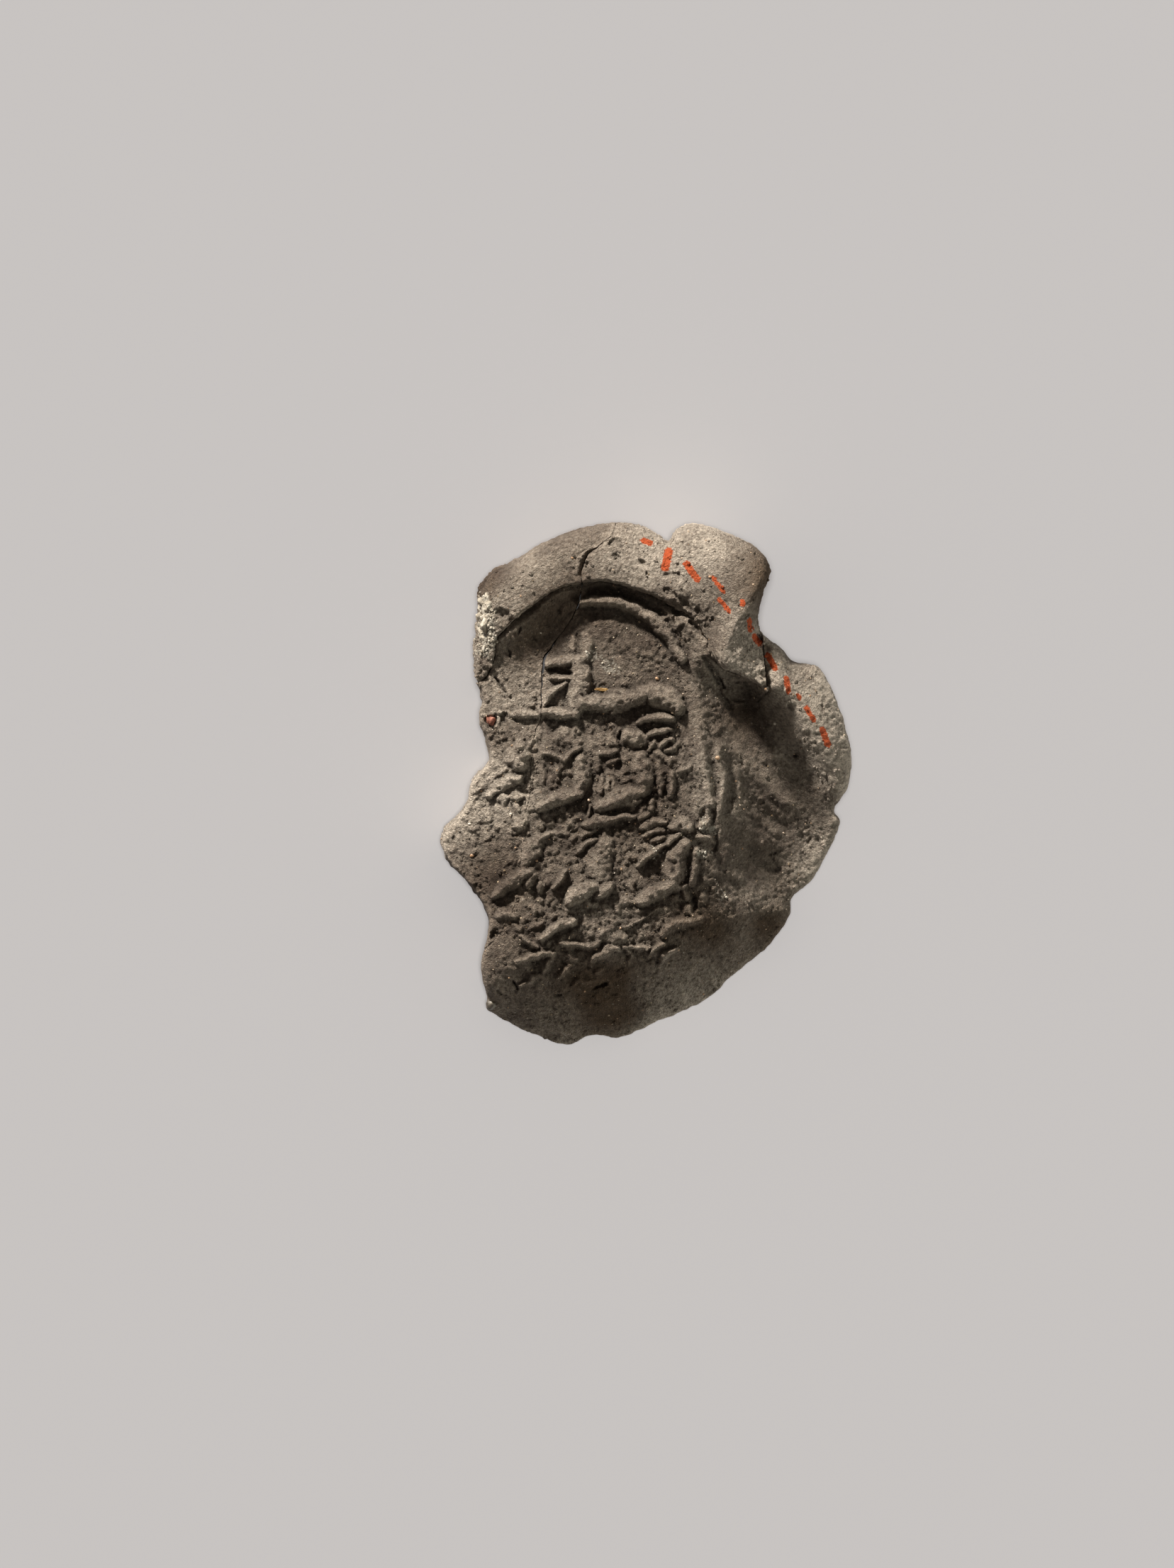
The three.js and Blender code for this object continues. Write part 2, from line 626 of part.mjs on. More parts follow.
function limeCrust() {
  const between = ([from, to], index) =>
    THREE.MathUtils.lerp(from, to, index / crustSteps) * percent;
  const rings = Array.from({ length: crustSteps + 1 }, (_, index) => {
    const along = between(crustAlongShares, index);
    const bulge = Math.sqrt(1 - crustDomeShare * Math.pow(2 * index / crustSteps - 1, 2));
    const middle = (crustAcrossShares[0] + crustAcrossShares[1]) / 2;
    const acrossAt = (step) =>
      THREE.MathUtils.lerp(middle * percent, between(crustAcrossShares, step), bulge);
    const steps = Array.from({ length: crustSteps + 1 }, (_, step) => step);
    const face = steps.map((step) => {
      const swell = Math.sqrt(1 - crustDomeShare * Math.pow(2 * step / crustSteps - 1, 2));
      return rimFace(along, acrossAt(step), inclusionGap + crustThickness * bulge * swell);
    });
    const underside = steps.reverse().map((step) => rimFace(along, acrossAt(step), inclusionGap));
    return [...face, ...underside].reverse();
  });
  return loft(rings, middleOf(rings[0]), middleOf(rings[crustSteps]));
}

function clay(colour) {
  return new THREE.MeshStandardMaterial({ color: colour, roughness: 0.95, metalness: 0 });
}

function build() {
  const printed = sealPrint().reduce((body, stroke) => body.add(stroke), padBody());
  const ground = rimGround();
  const sides = crackSides();
  const groove = cordGroove();
  const rim = rimBody().subtract(groove);
  const face = printed.subtract(ground).subtract(groove);

  const redSpot = place(redGrainShares);
  const redHeight = padHeight(redSpot.x, redSpot.y);
  const redGrain = grain(redGrainDiameter, redSpot.x, redSpot.y, redHeight);
  const redPit = grain(redGrainDiameter + 2 * inclusionGap, redSpot.x, redSpot.y, redHeight);

  const pebbleSpot = place(pebbleShares);
  const pebbleHeight = padHeight(pebbleSpot.x, pebbleSpot.y) - pebbleDepthShare * pebbleDiameter;
  const pebble = grain(pebbleDiameter, pebbleSpot.x, pebbleSpot.y, pebbleHeight);
  const pebblePit = grain(pebbleDiameter + 2 * inclusionGap, pebbleSpot.x, pebbleSpot.y, pebbleHeight);

  const parts = [
    ['seal_pad', geometryOf(face.intersect(sides.right)
      .subtract(solidOf(pebblePit))
      .subtract(solidOf(straw(strawDiameter + 2 * inclusionGap)))), clay('#6b6259')],
    ['left_fragment', geometryOf(face.intersect(sides.left).subtract(solidOf(redPit))), clay('#756c62')],
    ['rim_roll_left', geometryOf(rim.intersect(sides.left)), clay('#a0988e')],
    ['rim_roll_right', geometryOf(rim.intersect(sides.right)), clay('#afa89e')],
    ['lime_crust', limeCrust(), clay('#e1ded2')],
    ['red_grain', redGrain, clay('#be6e5a')],
    ['straw_sliver', straw(strawDiameter), clay('#c8a05a')],
    ['edge_pebble', pebble, clay('#cfc8b4')],
  ];
  const sealing = new THREE.Group();
  for (const [name, geometry, material] of parts) {
    const mesh = new THREE.Mesh(geometry, material);
    mesh.name = name;
    sealing.add(mesh);
  }
  return sealing;
}

export default build();
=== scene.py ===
# A broken clay sealing, or bulla, on a pale floor, seen from straight above.
# It lies on its back: +X to the right of the seal's face, +Y to its top, +Z out of the face.
# Sizes are in millimetres until a mesh is made. Shares are in percent.

import json
import math

import bpy
import bmesh
import numpy as np
from mathutils.geometry import delaunay_2d_cdt
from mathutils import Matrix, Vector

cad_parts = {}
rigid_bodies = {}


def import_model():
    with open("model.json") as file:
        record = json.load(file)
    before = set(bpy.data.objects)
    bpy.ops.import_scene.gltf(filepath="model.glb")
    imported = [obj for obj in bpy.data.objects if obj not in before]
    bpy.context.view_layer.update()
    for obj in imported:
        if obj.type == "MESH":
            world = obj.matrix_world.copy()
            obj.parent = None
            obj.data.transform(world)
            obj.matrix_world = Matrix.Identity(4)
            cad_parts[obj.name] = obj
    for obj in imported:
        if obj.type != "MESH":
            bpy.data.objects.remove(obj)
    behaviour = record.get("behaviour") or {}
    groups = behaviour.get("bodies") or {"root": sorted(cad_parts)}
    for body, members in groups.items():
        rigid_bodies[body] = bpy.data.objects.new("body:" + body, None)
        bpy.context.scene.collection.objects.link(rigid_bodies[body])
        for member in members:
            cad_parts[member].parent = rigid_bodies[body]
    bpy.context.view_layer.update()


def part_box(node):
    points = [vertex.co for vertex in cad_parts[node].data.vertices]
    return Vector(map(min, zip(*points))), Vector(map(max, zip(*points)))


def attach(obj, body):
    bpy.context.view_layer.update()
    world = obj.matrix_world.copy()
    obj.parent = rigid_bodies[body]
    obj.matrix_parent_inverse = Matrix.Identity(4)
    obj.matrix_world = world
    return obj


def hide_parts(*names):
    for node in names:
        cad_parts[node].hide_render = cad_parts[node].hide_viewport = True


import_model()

mm = 0.001
percent = 0.01
sealing = {"width": 34.5, "length": 44.0, "height": 13.0}


# Numbers that follow the object's shape. Places among the shares are percent of the width and length.

# The pad's outline, clockwise from the fold: x, y, roll of the top, lift of the edge
outlineShares = [
    (28, 28.8, 30, 60), (32.5, 25.8, 30, 60), (35.7, 23.5, 30, 60), (41.8, 22.2, 40, 60),
    (44.8, 18.6, 40, 60), (47.9, 12.4, 40, 60), (50, 5.1, 40, 60), (49.1, -0.8, 40, 55),
    (46, -4.9, 40, 55), (47.3, -6.8, 30, 50), (44.8, -12.4, 30, 50), (40.4, -18.6, 30, 50),
    (35.6, -21.9, 30, 45), (35.2, -25.1, 40, 40), (30.4, -30.7, 40, 40), (21.5, -36.5, 40, 40),
    (17, -40, 40, 40), (10.5, -43, 40, 40), (0.2, -46.4, 40, 40), (-6.7, -48.6, 40, 40),
    (-12.9, -48.1, 40, 40), (-19.1, -50, 40, 40), (-25.9, -48.4, 50, 40), (-35.9, -44.6, 50, 40),
    (-38.7, -43, 40, 35), (-38.3, -41.1, 30, 30), (-39.9, -37.6, 20, 25), (-39.7, -33, 10, 20),
    (-38.1, -27.8, 10, 15), (-39, -23.8, 10, 15), (-43.5, -18.5, 10, 20), (-47.6, -14.9, 10, 30),
    (-50, -10.5, 20, 40), (-46.2, -6.8, 10, 30), (-43.6, -4.1, 10, 20), (-42.3, 0.5, 10, 15),
    (-38, 4.3, 10, 10), (-38.1, 7.3, 10, 10), (-40.4, 12.2, 10, 15), (-39.9, 16.8, 10, 20),
    (-41.6, 20.8, 20, 20), (-36.3, 30.5, 30, 30), (-27.7, 38.6, 30, 30), (-13.9, 42.7, 30, 30),
    (3.3, 42.7, 30, 30), (20.4, 37.3, 30, 30),
]

# The rim, from its lower left end round the top to the fold: foot x and y, edge x and y, crest height,
# place of the crest across the rim, lift of the edge, fullness of the inner side
rimShares = [
    (-40.8, 19.4, -41.6, 20.9, 61, 40, 40, 220), (-39, 20.1, -41.9, 24.3, 63, 35, 35, 220),
    (-36.8, 23.8, -41.2, 29.2, 67, 25, 35, 250), (-36.3, 27.4, -40.7, 33.9, 71, 20, 40, 300),
    (-34.2, 29.5, -40.4, 36.8, 75, 14, 45, 400), (-30.2, 32.4, -38.3, 39.9, 78, 12, 45, 500),
    (-25.9, 34.9, -32.1, 42.7, 79, 10, 45, 500), (-20.8, 37.2, -24.2, 46.4, 79, 10, 45, 500),
    (-15.6, 38.2, -15.6, 48.9, 78, 10, 45, 500), (-10.5, 38.5, -8.4, 49.9, 78, 10, 45, 500),
    (-5, 37.6, -1.4, 49.5, 78, 11, 45, 500), (0.2, 36.2, 3.1, 47.7, 79, 12, 45, 500),
    (5, 34.5, 5.5, 46.4, 81, 16, 45, 350), (7.6, 33.5, 7.2, 48.4, 83, 28, 50, 180),
    (9.8, 32.7, 11.2, 49.6, 86, 36, 55, 150), (12.5, 30.5, 19.8, 47.8, 92, 45, 60, 140),
    (14.8, 27.6, 27.7, 44.3, 97, 58, 60, 150), (15.6, 24.9, 30.2, 40.9, 100, 60, 60, 220),
    (18.7, 22, 28.5, 36.5, 96, 30, 60, 600), (22.5, 20.9, 27.3, 32.7, 92, 16, 60, 600),
    (25.9, 19.6, 27.3, 30.3, 88, 10, 60, 600), (29.4, 17.4, 28, 28.8, 86, 10, 60, 600),
]

# The long drying crack: x, y and how wide it shows
crackShares = [
    (-6.8, 54, 0), (-8, 47.4, 2), (-10, 46.3, 12), (-11.9, 45.1, 35), (-14.6, 43.7, 130), (-16, 40.5, 120),
    (-15.6, 38.1, 25), (-16.8, 33.5, 30), (-18.7, 30.8, 15), (-22.2, 26.8, 25), (-24.6, 23.5, 70),
    (-25.3, 19.7, 35), (-25.6, 12.7, 12), (-27.3, 8.4, 3), (-28, 3.5, 3), (-28.2, -1.9, 2),
    (-29.7, -8.4, 2), (-30.2, -12.7, 2), (-30.8, -20.1, 2), (-31.8, -23.2, 2),
    (-33.8, -26.5, 2), (-36.3, -29.2, 2), (-45, -36, 2),
]

# Heights of the pad's face along the lines that shape it: x, y, height
heightShares = [
    # The flat field that the seal pressed
    (-22.5, 22, 65), (-10.5, 29, 67.5), (2.5, 24, 68), (-19, 14, 66),
    (-2, 7.5, 69), (9.5, 14, 68), (-21, 1, 68), (-5, -6, 70),
    (9.5, -2, 69), (-22.5, -13, 68), (-5, -19.5, 69), (9.5, -17, 68),
    (-19, -27.5, 67), (-2, -28, 66),
    # Its edge under the rim and down the right
    (-34.4, 25.1, 65), (-26.5, 23.6, 64), (-24.8, 28.2, 65), (-20.1, 33.2, 66.5), (-16.5, 35.4, 67),
    (-34.2, 29.3, 73), (-30.2, 32.2, 75), (-25.9, 34.7, 75.5), (-20.8, 37, 75), (-15.6, 38, 72),
    (-30.4, 27.6, 69), (-26.2, 31.2, 70), (-10.5, 38, 68), (-5, 37, 67.5), (0.2, 35.7, 69), (5, 34, 74),
    (7.6, 33, 77), (9.8, 32, 79),
    (12.3, 30, 81), (14.4, 27.4, 81), (15.2, 24.6, 80), (6, 29.5, 71), (10.5, 26.5, 73),
    (12.5, 21, 70), (14.5, 15, 67), (18, 20.3, 62), (17.5, 6, 67), (18, -4.5, 66), (16, -15.5, 64),
    (14.5, -23.5, 62),
    # The hollow that a finger left beside it
    (22, 17, 56), (25, 18, 55), (24, 8, 54), (26, 0, 52), (27, -8.5, 48), (24, -17, 49),
    (28.5, 13, 55), (31.5, 6, 54), (33, -3, 47), (38.5, -3, 47), (35, -9, 41), (31, -17, 38),
    # The flank and the crest that run from the fold into the wing
    (31.5, 14, 64), (34.5, 10, 62), (37.5, 6, 58), (41, 1, 53), (43.5, -4, 49),
    (31, 18.5, 84), (34.5, 15.8, 79), (37.5, 12, 76), (40.3, 8.5, 73.5), (43.2, 4.5, 69), (45.8, -1, 60),
    # The wing's edge
    (30, 25, 83), (35, 21.5, 78), (42.5, 18, 75), (46, 12, 73), (48.5, 5, 69), (46.5, -7, 48),
    (44.5, -12, 41), (40, -18, 35), (35, -22, 34),
    # The lower crest, where the clay turns down
    (33.5, -25, 37), (24.5, -26, 50), (13.5, -29.5, 59), (3.5, -32.5, 62),
    (-9, -33, 63), (-23.5, -34.5, 61), (-31, -38, 56), (-37, -38.5, 53),
    # The slope below it, and its thin edge
    (29, -29.5, 32), (18.5, -35, 31), (8.5, -38.5, 37), (-3.5, -39.5, 43), (-15.5, -41.5, 44),
    (-27.5, -42.5, 42), (21.5, -36.5, 25), (10.5, -43, 22), (0, -46.5, 20), (-13, -48, 22),
    (-19, -50, 18), (-26, -48.5, 22), (-36, -44.5, 28),
    # The broken left side
    (-30, 14, 65), (-38, 15.5, 62), (-40.5, 20.5, 61), (-36.5, 24.5, 65), (-33, 3.5, 67),
    (-37.5, 5.5, 62), (-36.5, -3, 64), (-43, -3, 58), (-33, -10.5, 66), (-42.5, -10.5, 58),
    (-49.5, -10.5, 48), (-43, -18, 57), (-33.5, -21, 65), (-37, -27.5, 62), (-39, -34.5, 57),
]

# Grooves where the rim's foot presses into the pad, one for each row of the rim: width and depth in mm
footGrooves = [
    (0.2, 0.05), (0.2, 0.1), (0.2, 0.15), (0.2, 0.3), (0.25, 0.35), (0.45, 0.9), (0.3, 0.5), (0.25, 0.4),
    (0.4, 0.5), (0.5, 0.6), (0.5, 0.7), (0.5, 0.8), (0.5, 0.8), (0.45, 0.7), (0.4, 0.5), (0.35, 0.5),
    (0.3, 0.4), (0.3, 0.4), (0.3, 0.3), (0.3, 0.2), (0.2, 0.1), (0.2, 0.1),
]

# Ridges and furrows that the seal, the fingers and wear left, in mm: path, width, height
sealRelief = {
    "border line": [
        ([(-5.4, 15.2), (-4.5, 15.3), (-3.3, 15.3), (-2.2, 15.2), (-1.1, 14.8), (0.0, 14.2), (0.9, 13.4),
          (1.8, 12.5), (2.5, 11.4), (3.1, 10.4)], 0.9, 1.00),
        ([(-5.9, 15.2), (-6.6, 14.7), (-7.1, 14.3)], 0.6, 0.18),
        ([(5.6, 9.6), (6.2, 8.6), (6.7, 7.5), (7.2, 6.9), (8.2, 6.7)], 0.2, 0.30),
    ],
    "jackal": [
        ([(-5.1, 12.5), (-4.9, 11.6), (-5.0, 10.6)], 0.8, 0.46),
        ([(-6.1, 12.2), (-6.1, 11.2)], 0.5, 0.24),
        ([(-5.0, 10.5), (-6.2, 10.4), (-7.3, 10.2), (-8.3, 10.0)], 0.7, 0.62),
        ([(-5.6, 10.2), (-5.5, 9.0), (-5.7, 7.6), (-5.9, 6.1)], 1.4, 0.70),
        ([(-8.0, 8.8), (-7.2, 8.9), (-6.4, 8.8)], 0.4, 0.50),
        ([(-6.7, 8.4), (-7.5, 8.0), (-8.2, 7.4), (-8.6, 6.7)], 0.5, 0.55),
        ([(-5.8, 5.9), (-7.2, 5.9), (-8.6, 6.1)], 0.8, 0.88),
        ([(-9.1, 5.8), (-10.1, 5.9), (-11.1, 5.8)], 0.6, 0.50),
        ([(-5.4, 6.8), (-3.6, 6.9), (-1.8, 7.0), (-0.5, 7.2)], 1.4, 1.12),
        ([(-0.2, 7.6), (0.8, 7.5), (1.9, 7.1), (2.7, 6.5)], 1.6, 1.04),
        ([(-2.9, 5.9), (-2.0, 6.4)], 0.4, 0.70), ([(-0.5, 5.2), (0.7, 5.6), (2.2, 5.5)], 0.6, 0.82),
        ([(0.2, 4.1), (1.1, 4.4), (2.0, 4.6)], 0.5, 0.72),
    ],
    "upper captives": [
        ([(-10.6, 2.9), (-10.7, 2.3), (-10.6, 1.8)], 1.8, 1.05), ([(-9.9, 3.1), (-9.5, 3.7)], 0.4, 0.45),
        ([(-10.9, 3.3), (-10.3, 3.9)], 0.5, 0.40),
        ([(-13.2, -1.0), (-12.3, -0.2), (-11.4, 0.2), (-10.5, 0.5)], 0.8, 0.60),
        ([(-14.8, -1.0), (-13.1, 0.4), (-11.8, 1.3)], 0.5, 0.22),
        ([(-11.2, -1.1), (-10.4, -1.0)], 0.6, 0.40), ([(-12.3, -1.3), (-11.7, -1.1)], 0.7, 0.36),
        ([(-7.4, 3.8), (-6.8, 4.1), (-5.9, 3.6)], 1.3, 0.34), ([(-7.2, 4.1), (-6.5, 4.2)], 0.4, 0.30),
        ([(-8.7, 2.7), (-7.6, 2.4), (-6.8, 2.1), (-6.2, 2.7), (-5.6, 3.0)], 0.5, 0.52),
        ([(-5.5, 2.1), (-5.4, 1.2), (-5.4, 0.1), (-5.7, -0.6)], 1.2, 0.80),
        ([(-5.5, -0.8), (-6.6, -0.9), (-7.7, -1.3), (-8.8, -2.0)], 1.0, 0.94),
        ([(-8.7, 1.4), (-8.6, 0.3)], 0.5, 0.28), ([(-8.1, 0.7), (-7.9, -0.2)], 0.4, 0.26),
        ([(-7.5, 1.3), (-7.3, 0.4)], 0.4, 0.22), ([(-4.3, 2.1), (-3.9, 1.6)], 0.5, 0.36),
        ([(-3.7, 0.7), (-3.7, -0.7)], 0.4, 0.34), ([(-3.2, 0.5), (-3.2, -0.8)], 0.4, 0.32),
        ([(-2.7, 0.4), (-2.7, -0.6)], 0.3, 0.26), ([(-4.3, 2.6), (-3.3, 2.6), (-2.4, 2.7)], 0.4, 0.42),
        ([(-3.1, 1.7), (-2.4, 2.0)], 0.5, 0.38), ([(-1.5, 4.0), (-0.8, 3.8), (-0.2, 3.6)], 1.4, 0.78),
        ([(0.3, 2.9), (0.8, 3.6)], 0.4, 0.44),
        ([(1.2, 3.0), (1.5, 3.4), (2.1, 3.7), (2.4, 3.3)], 0.4, 0.48),
        ([(1.6, 2.8), (2.3, 3.0), (2.8, 3.4)], 0.4, 0.38),
        ([(-0.5, 2.1), (-0.2, 1.1), (-0.2, -0.2)], 1.5, 0.86),
        ([(-0.2, -0.6), (-1.4, -0.9), (-2.7, -1.4), (-3.9, -1.9)], 1.2, 0.90),
        ([(-1.7, -1.7), (-0.4, -1.4)], 0.4, 0.60), ([(0.8, 2.6), (1.5, 2.3), (2.0, 1.8)], 0.5, 0.36),
        ([(1.1, 1.8), (1.2, 0.5), (1.2, -0.7)], 0.6, 0.46),
        ([(2.1, 1.1), (2.2, 0.1), (2.1, -1.0)], 0.5, 0.56),
        ([(2.8, 1.1), (3.4, 1.3), (3.8, 1.7)], 0.4, 0.34), ([(0.5, -1.3), (0.4, -2.1)], 0.5, 0.60),
        ([(-5.1, -1.4), (-5.2, -2.1)], 0.4, 0.40), ([(-4.6, -1.8), (-4.9, -2.7)], 0.3, 0.52),
        ([(-0.5, -2.9), (0.2, -2.4)], 0.5, 0.38),
    ],
    "lower captives": [
        ([(-9.1, -4.6), (-9.7, -5.6), (-10.1, -6.5)], 1.4, 0.62),
        ([(-9.0, -4.6), (-8.2, -4.3)], 0.5, 0.50),
        ([(-8.5, -4.2), (-7.4, -4.0), (-6.6, -4.2)], 0.4, 0.26),
        ([(-10.8, -3.6), (-10.3, -3.2)], 0.9, 0.44),
        ([(-9.7, -7.3), (-10.8, -7.8), (-11.9, -8.6), (-12.6, -9.3)], 1.0, 0.86),
        ([(-9.4, -7.8), (-9.9, -8.4)], 0.9, 0.66), ([(-8.8, -8.3), (-8.8, -9.1)], 0.5, 0.44),
        ([(-9.3, -10.1), (-9.3, -11.1)], 0.3, 0.28), ([(-8.8, -10.3), (-8.7, -10.9)], 0.3, 0.22),
        ([(-6.8, -7.3), (-7.1, -8.0), (-7.8, -8.7)], 0.5, 0.60),
        ([(-4.9, -3.4), (-4.0, -3.1), (-3.0, -3.0)], 1.0, 0.74),
        ([(-3.1, -3.0), (-2.0, -2.8), (-1.0, -2.7)], 0.5, 0.70),
        ([(-5.4, -4.3), (-4.3, -3.9)], 0.4, 0.38),
        ([(-5.6, -5.6), (-5.1, -5.1), (-4.2, -4.6)], 0.5, 0.68),
        ([(-3.4, -5.0), (-3.9, -5.9), (-3.9, -7.0), (-3.7, -7.8)], 1.8, 0.64),
        ([(-4.3, -8.6), (-5.4, -9.0), (-6.4, -9.8)], 1.2, 1.02),
        ([(-3.0, -8.5), (-3.6, -8.9), (-3.9, -9.3)], 1.0, 0.82),
        ([(-6.0, -8.3), (-5.3, -8.0)], 0.4, 0.32),
        ([(-0.4, -3.7), (0.2, -3.4), (0.9, -3.1), (1.6, -3.2)], 0.6, 0.40),
        ([(-0.2, -4.3), (0.5, -4.0), (1.5, -4.0)], 0.3, 0.34),
        ([(2.3, -3.6), (3.0, -3.3), (3.6, -3.6)], 1.1, 0.72),
        ([(2.8, -4.2), (2.2, -4.6), (1.8, -5.1)], 0.5, 0.72),
        ([(1.5, -5.1), (0.7, -5.7), (-0.3, -6.5), (-0.7, -6.8)], 0.5, 0.78),
        ([(0.5, -4.8), (1.5, -4.5)], 0.4, 0.32),
        ([(3.1, -5.1), (2.5, -6.1), (2.4, -7.4), (2.3, -8.2)], 1.5, 0.86),
        ([(2.2, -8.5), (0.9, -9.0), (-0.5, -9.8)], 1.1, 0.92),
        ([(3.4, -8.4), (2.7, -8.7), (2.0, -8.7)], 0.4, 0.66), ([(3.3, -9.0), (3.5, -9.6)], 0.5, 0.38),
        ([(4.2, -5.6), (4.1, -7.1), (3.9, -8.4)], 0.6, 0.50),
        ([(4.3, -4.4), (5.1, -4.5), (5.6, -4.9)], 0.5, 0.5), ([(4.6, -3.6), (5.3, -3.2)], 0.7, 0.44),
        ([(-2.1, -7.0), (-1.6, -7.6)], 0.5, 0.26), ([(-1.5, -8.1), (-1.1, -8.8)], 0.5, 0.30),
    ],
    "faded captives": [
        ([(-12.4, -11.1), (-11.8, -10.8), (-11.1, -11.1)], 0.8, 0.60),
        ([(-10.9, -11.8), (-10.6, -12.2)], 0.5, 0.38),
        ([(-6.0, -11.5), (-6.9, -11.7), (-7.8, -12.2), (-8.7, -13.0)], 0.7, 0.86),
        ([(-10.5, -12.7), (-9.8, -13.3), (-9.2, -13.7)], 0.5, 0.52),
        ([(-9.6, -12.1), (-8.7, -11.7)], 0.4, 0.28),
        ([(-7.2, -13.3), (-6.0, -13.5), (-4.6, -13.6), (-3.9, -13.1)], 0.5, 0.42),
        ([(-10.7, -14.9), (-9.8, -14.6), (-8.8, -14.3), (-7.7, -14.3)], 0.6, 0.56),
        ([(-3.6, -12.5), (-2.7, -12.7), (-2.1, -12.9)], 1.3, 0.44),
        ([(-4.3, -14.7), (-3.6, -14.2), (-2.9, -13.8), (-2.3, -13.9)], 0.7, 0.58),
        ([(-1.8, -13.7), (-0.9, -13.7), (0.4, -13.7)], 0.4, 0.42),
        ([(0.4, -14.3), (1.0, -13.7), (1.5, -13.4)], 0.4, 0.52),
        ([(1.4, -12.6), (2.0, -12.0), (3.0, -11.7), (4.5, -11.4)], 0.8, 0.72),
        ([(1.3, -15.0), (1.7, -14.4), (2.6, -13.9)], 0.5, 0.66),
        ([(-1.8, -12.1), (-0.9, -11.6), (-0.4, -11.4), (0.7, -10.7), (1.2, -10.4)], 0.2, 0.28),
        ([(3.4, -10.3), (3.8, -10.9)], 0.7, 0.40), ([(4.0, -10.9), (4.6, -11.4)], 0.4, 0.34),
        ([(4.7, -9.2), (4.9, -9.8)], 0.7, 0.32), ([(-2.5, -9.9), (-2.3, -10.6)], 0.5, 0.24),
    ],
    "crumbled crest": [
        ([(-10.6, -16.9), (-9.7, -16.6), (-9.4, -16.2), (-8.6, -16.1)], 0.4, 0.34),
        ([(-8.6, -15.9), (-8.2, -15.2), (-7.8, -14.6)], 0.5, 0.40),
        ([(-7.3, -16.2), (-6.8, -15.8), (-6.2, -15.2)], 0.5, 0.34),
        ([(-6.1, -16.9), (-5.8, -16.6), (-5.0, -16.6), (-4.4, -16.5)], 0.4, 0.30),
        ([(-4.2, -15.9), (-3.5, -15.5)], 0.4, 0.30),
        ([(-6.6, -14.3), (-6.1, -14.7), (-5.8, -14.7)], 0.5, 0.34),
        ([(-1.6, -14.0), (-1.2, -14.4), (-1.4, -15.0)], 0.4, 0.34),
        ([(-12.5, 6.1), (-11.4, 5.9)], 0.4, 0.15),
    ],
    "furrows": [
        ([(-4.8, 16.2), (-3.3, 16.3), (-1.8, 15.9), (-0.5, 15.3), (0.7, 14.7), (1.6, 14.2)], 0.7, -0.40),
        ([(-4.5, 14.2), (-3.0, 14.2), (-1.5, 13.9), (-0.4, 13.1), (0.7, 12.4)], 0.7, -0.14),
        ([(-8.0, 9.6), (-7.2, 9.6), (-6.3, 9.3)], 0.4, -0.45),
        ([(-12.7, 9.0), (-12.2, 8.3), (-11.7, 7.7)], 0.2, -0.38),
        ([(-11.7, 11.4), (-11.3, 10.6)], 0.2, -0.20), ([(-10.6, 13.1), (-10.7, 12.6)], 0.2, -0.22),
        ([(-9.5, 12.4), (-9.2, 12.1)], 0.2, -0.20),
        ([(-12.5, 12.2), (-12.2, 12.7), (-11.7, 13.1)], 0.2, -0.40),
        ([(-7.4, 14.6), (-7.1, 14.1)], 0.2, -0.16),
        ([(-2.1, 4.3), (-2.2, 3.6), (-2.0, 2.8)], 0.3, -0.40), ([(-2.5, 1.1), (-2.1, 1.7)], 0.5, -0.36),
        ([(-4.3, -17.2), (-3.7, -16.9), (-3.4, -16.7)], 0.3, -0.50),
        ([(-7.6, -17.7), (-7.1, -17.7)], 0.2, -0.30), ([(-11.1, -16.6), (-10.7, -17.2)], 0.2, -0.30),
        ([(-12.4, -17.4), (-12.0, -17.8)], 0.2, -0.30),
        ([(4.8, 10.6), (5.4, 9.8), (6.0, 8.9), (6.5, 8.2)], 0.4, -0.55),
        ([(2.0, 15.1), (2.6, 15.2)], 0.6, -0.60), ([(2.3, 14.5), (3.1, 14.3), (4.1, 14.0)], 0.5, -0.60),
        ([(3.7, 13.6), (4.4, 12.8), (5.3, 12.1)], 0.4, -0.60),
        ([(-1.8, 0.8), (-0.9, 0.8)], 0.3, -0.26), ([(-4.3, 7.7), (-3.4, 7.6), (-2.2, 7.5)], 0.3, -0.3),
        ([(4.0, -9.3), (4.0, -10.7)], 0.5, -0.44), ([(4.9, -2.2), (4.7, -2.9)], 0.5, -0.2),
        ([(5.5, -2.1), (5.8, -3.5), (5.6, -5.6)], 0.6, -0.24),
        ([(-11.2, 3.0), (-11.0, 3.6)], 0.3, -0.26), ([(-12.6, -12.4), (-12.7, -12.9)], 0.6, -0.40),
        ([(-11.8, 5.8), (-11.9, 5.5)], 0.7, -0.34),
        ([(10.0, 9.0), (10.2, 8.2), (10.2, 7.7), (9.5, 7.0)], 0.2, -0.34),
        ([(10.4, -5.9), (11.1, -5.8)], 0.2, -0.20), ([(11.9, 6.7), (12.3, 6.2)], 0.3, -0.24),
        ([(12.6, 2.4), (12.7, 2.4)], 0.5, -0.70), ([(-13.0, 5.3), (-12.9, 5.25)], 1.2, -0.45),
        ([(-12.0, 5.3), (-11.8, 5.2)], 0.4, -0.4), ([(9.7, 11.4), (10.2, 11.3)], 0.5, -0.3),
        ([(9.9, 9.8), (10.4, 9.7)], 0.6, -0.3), ([(9.9, 8.7), (10.5, 8.5)], 0.4, -0.25),
    ],
    "faint lines": [
        ([(3.3, 11.1), (3.8, 9.2), (4.1, 6.8), (4.3, 4.6), (4.5, 3.0), (4.8, 1.2), (5.1, -0.4)], 1.7, 0.34),
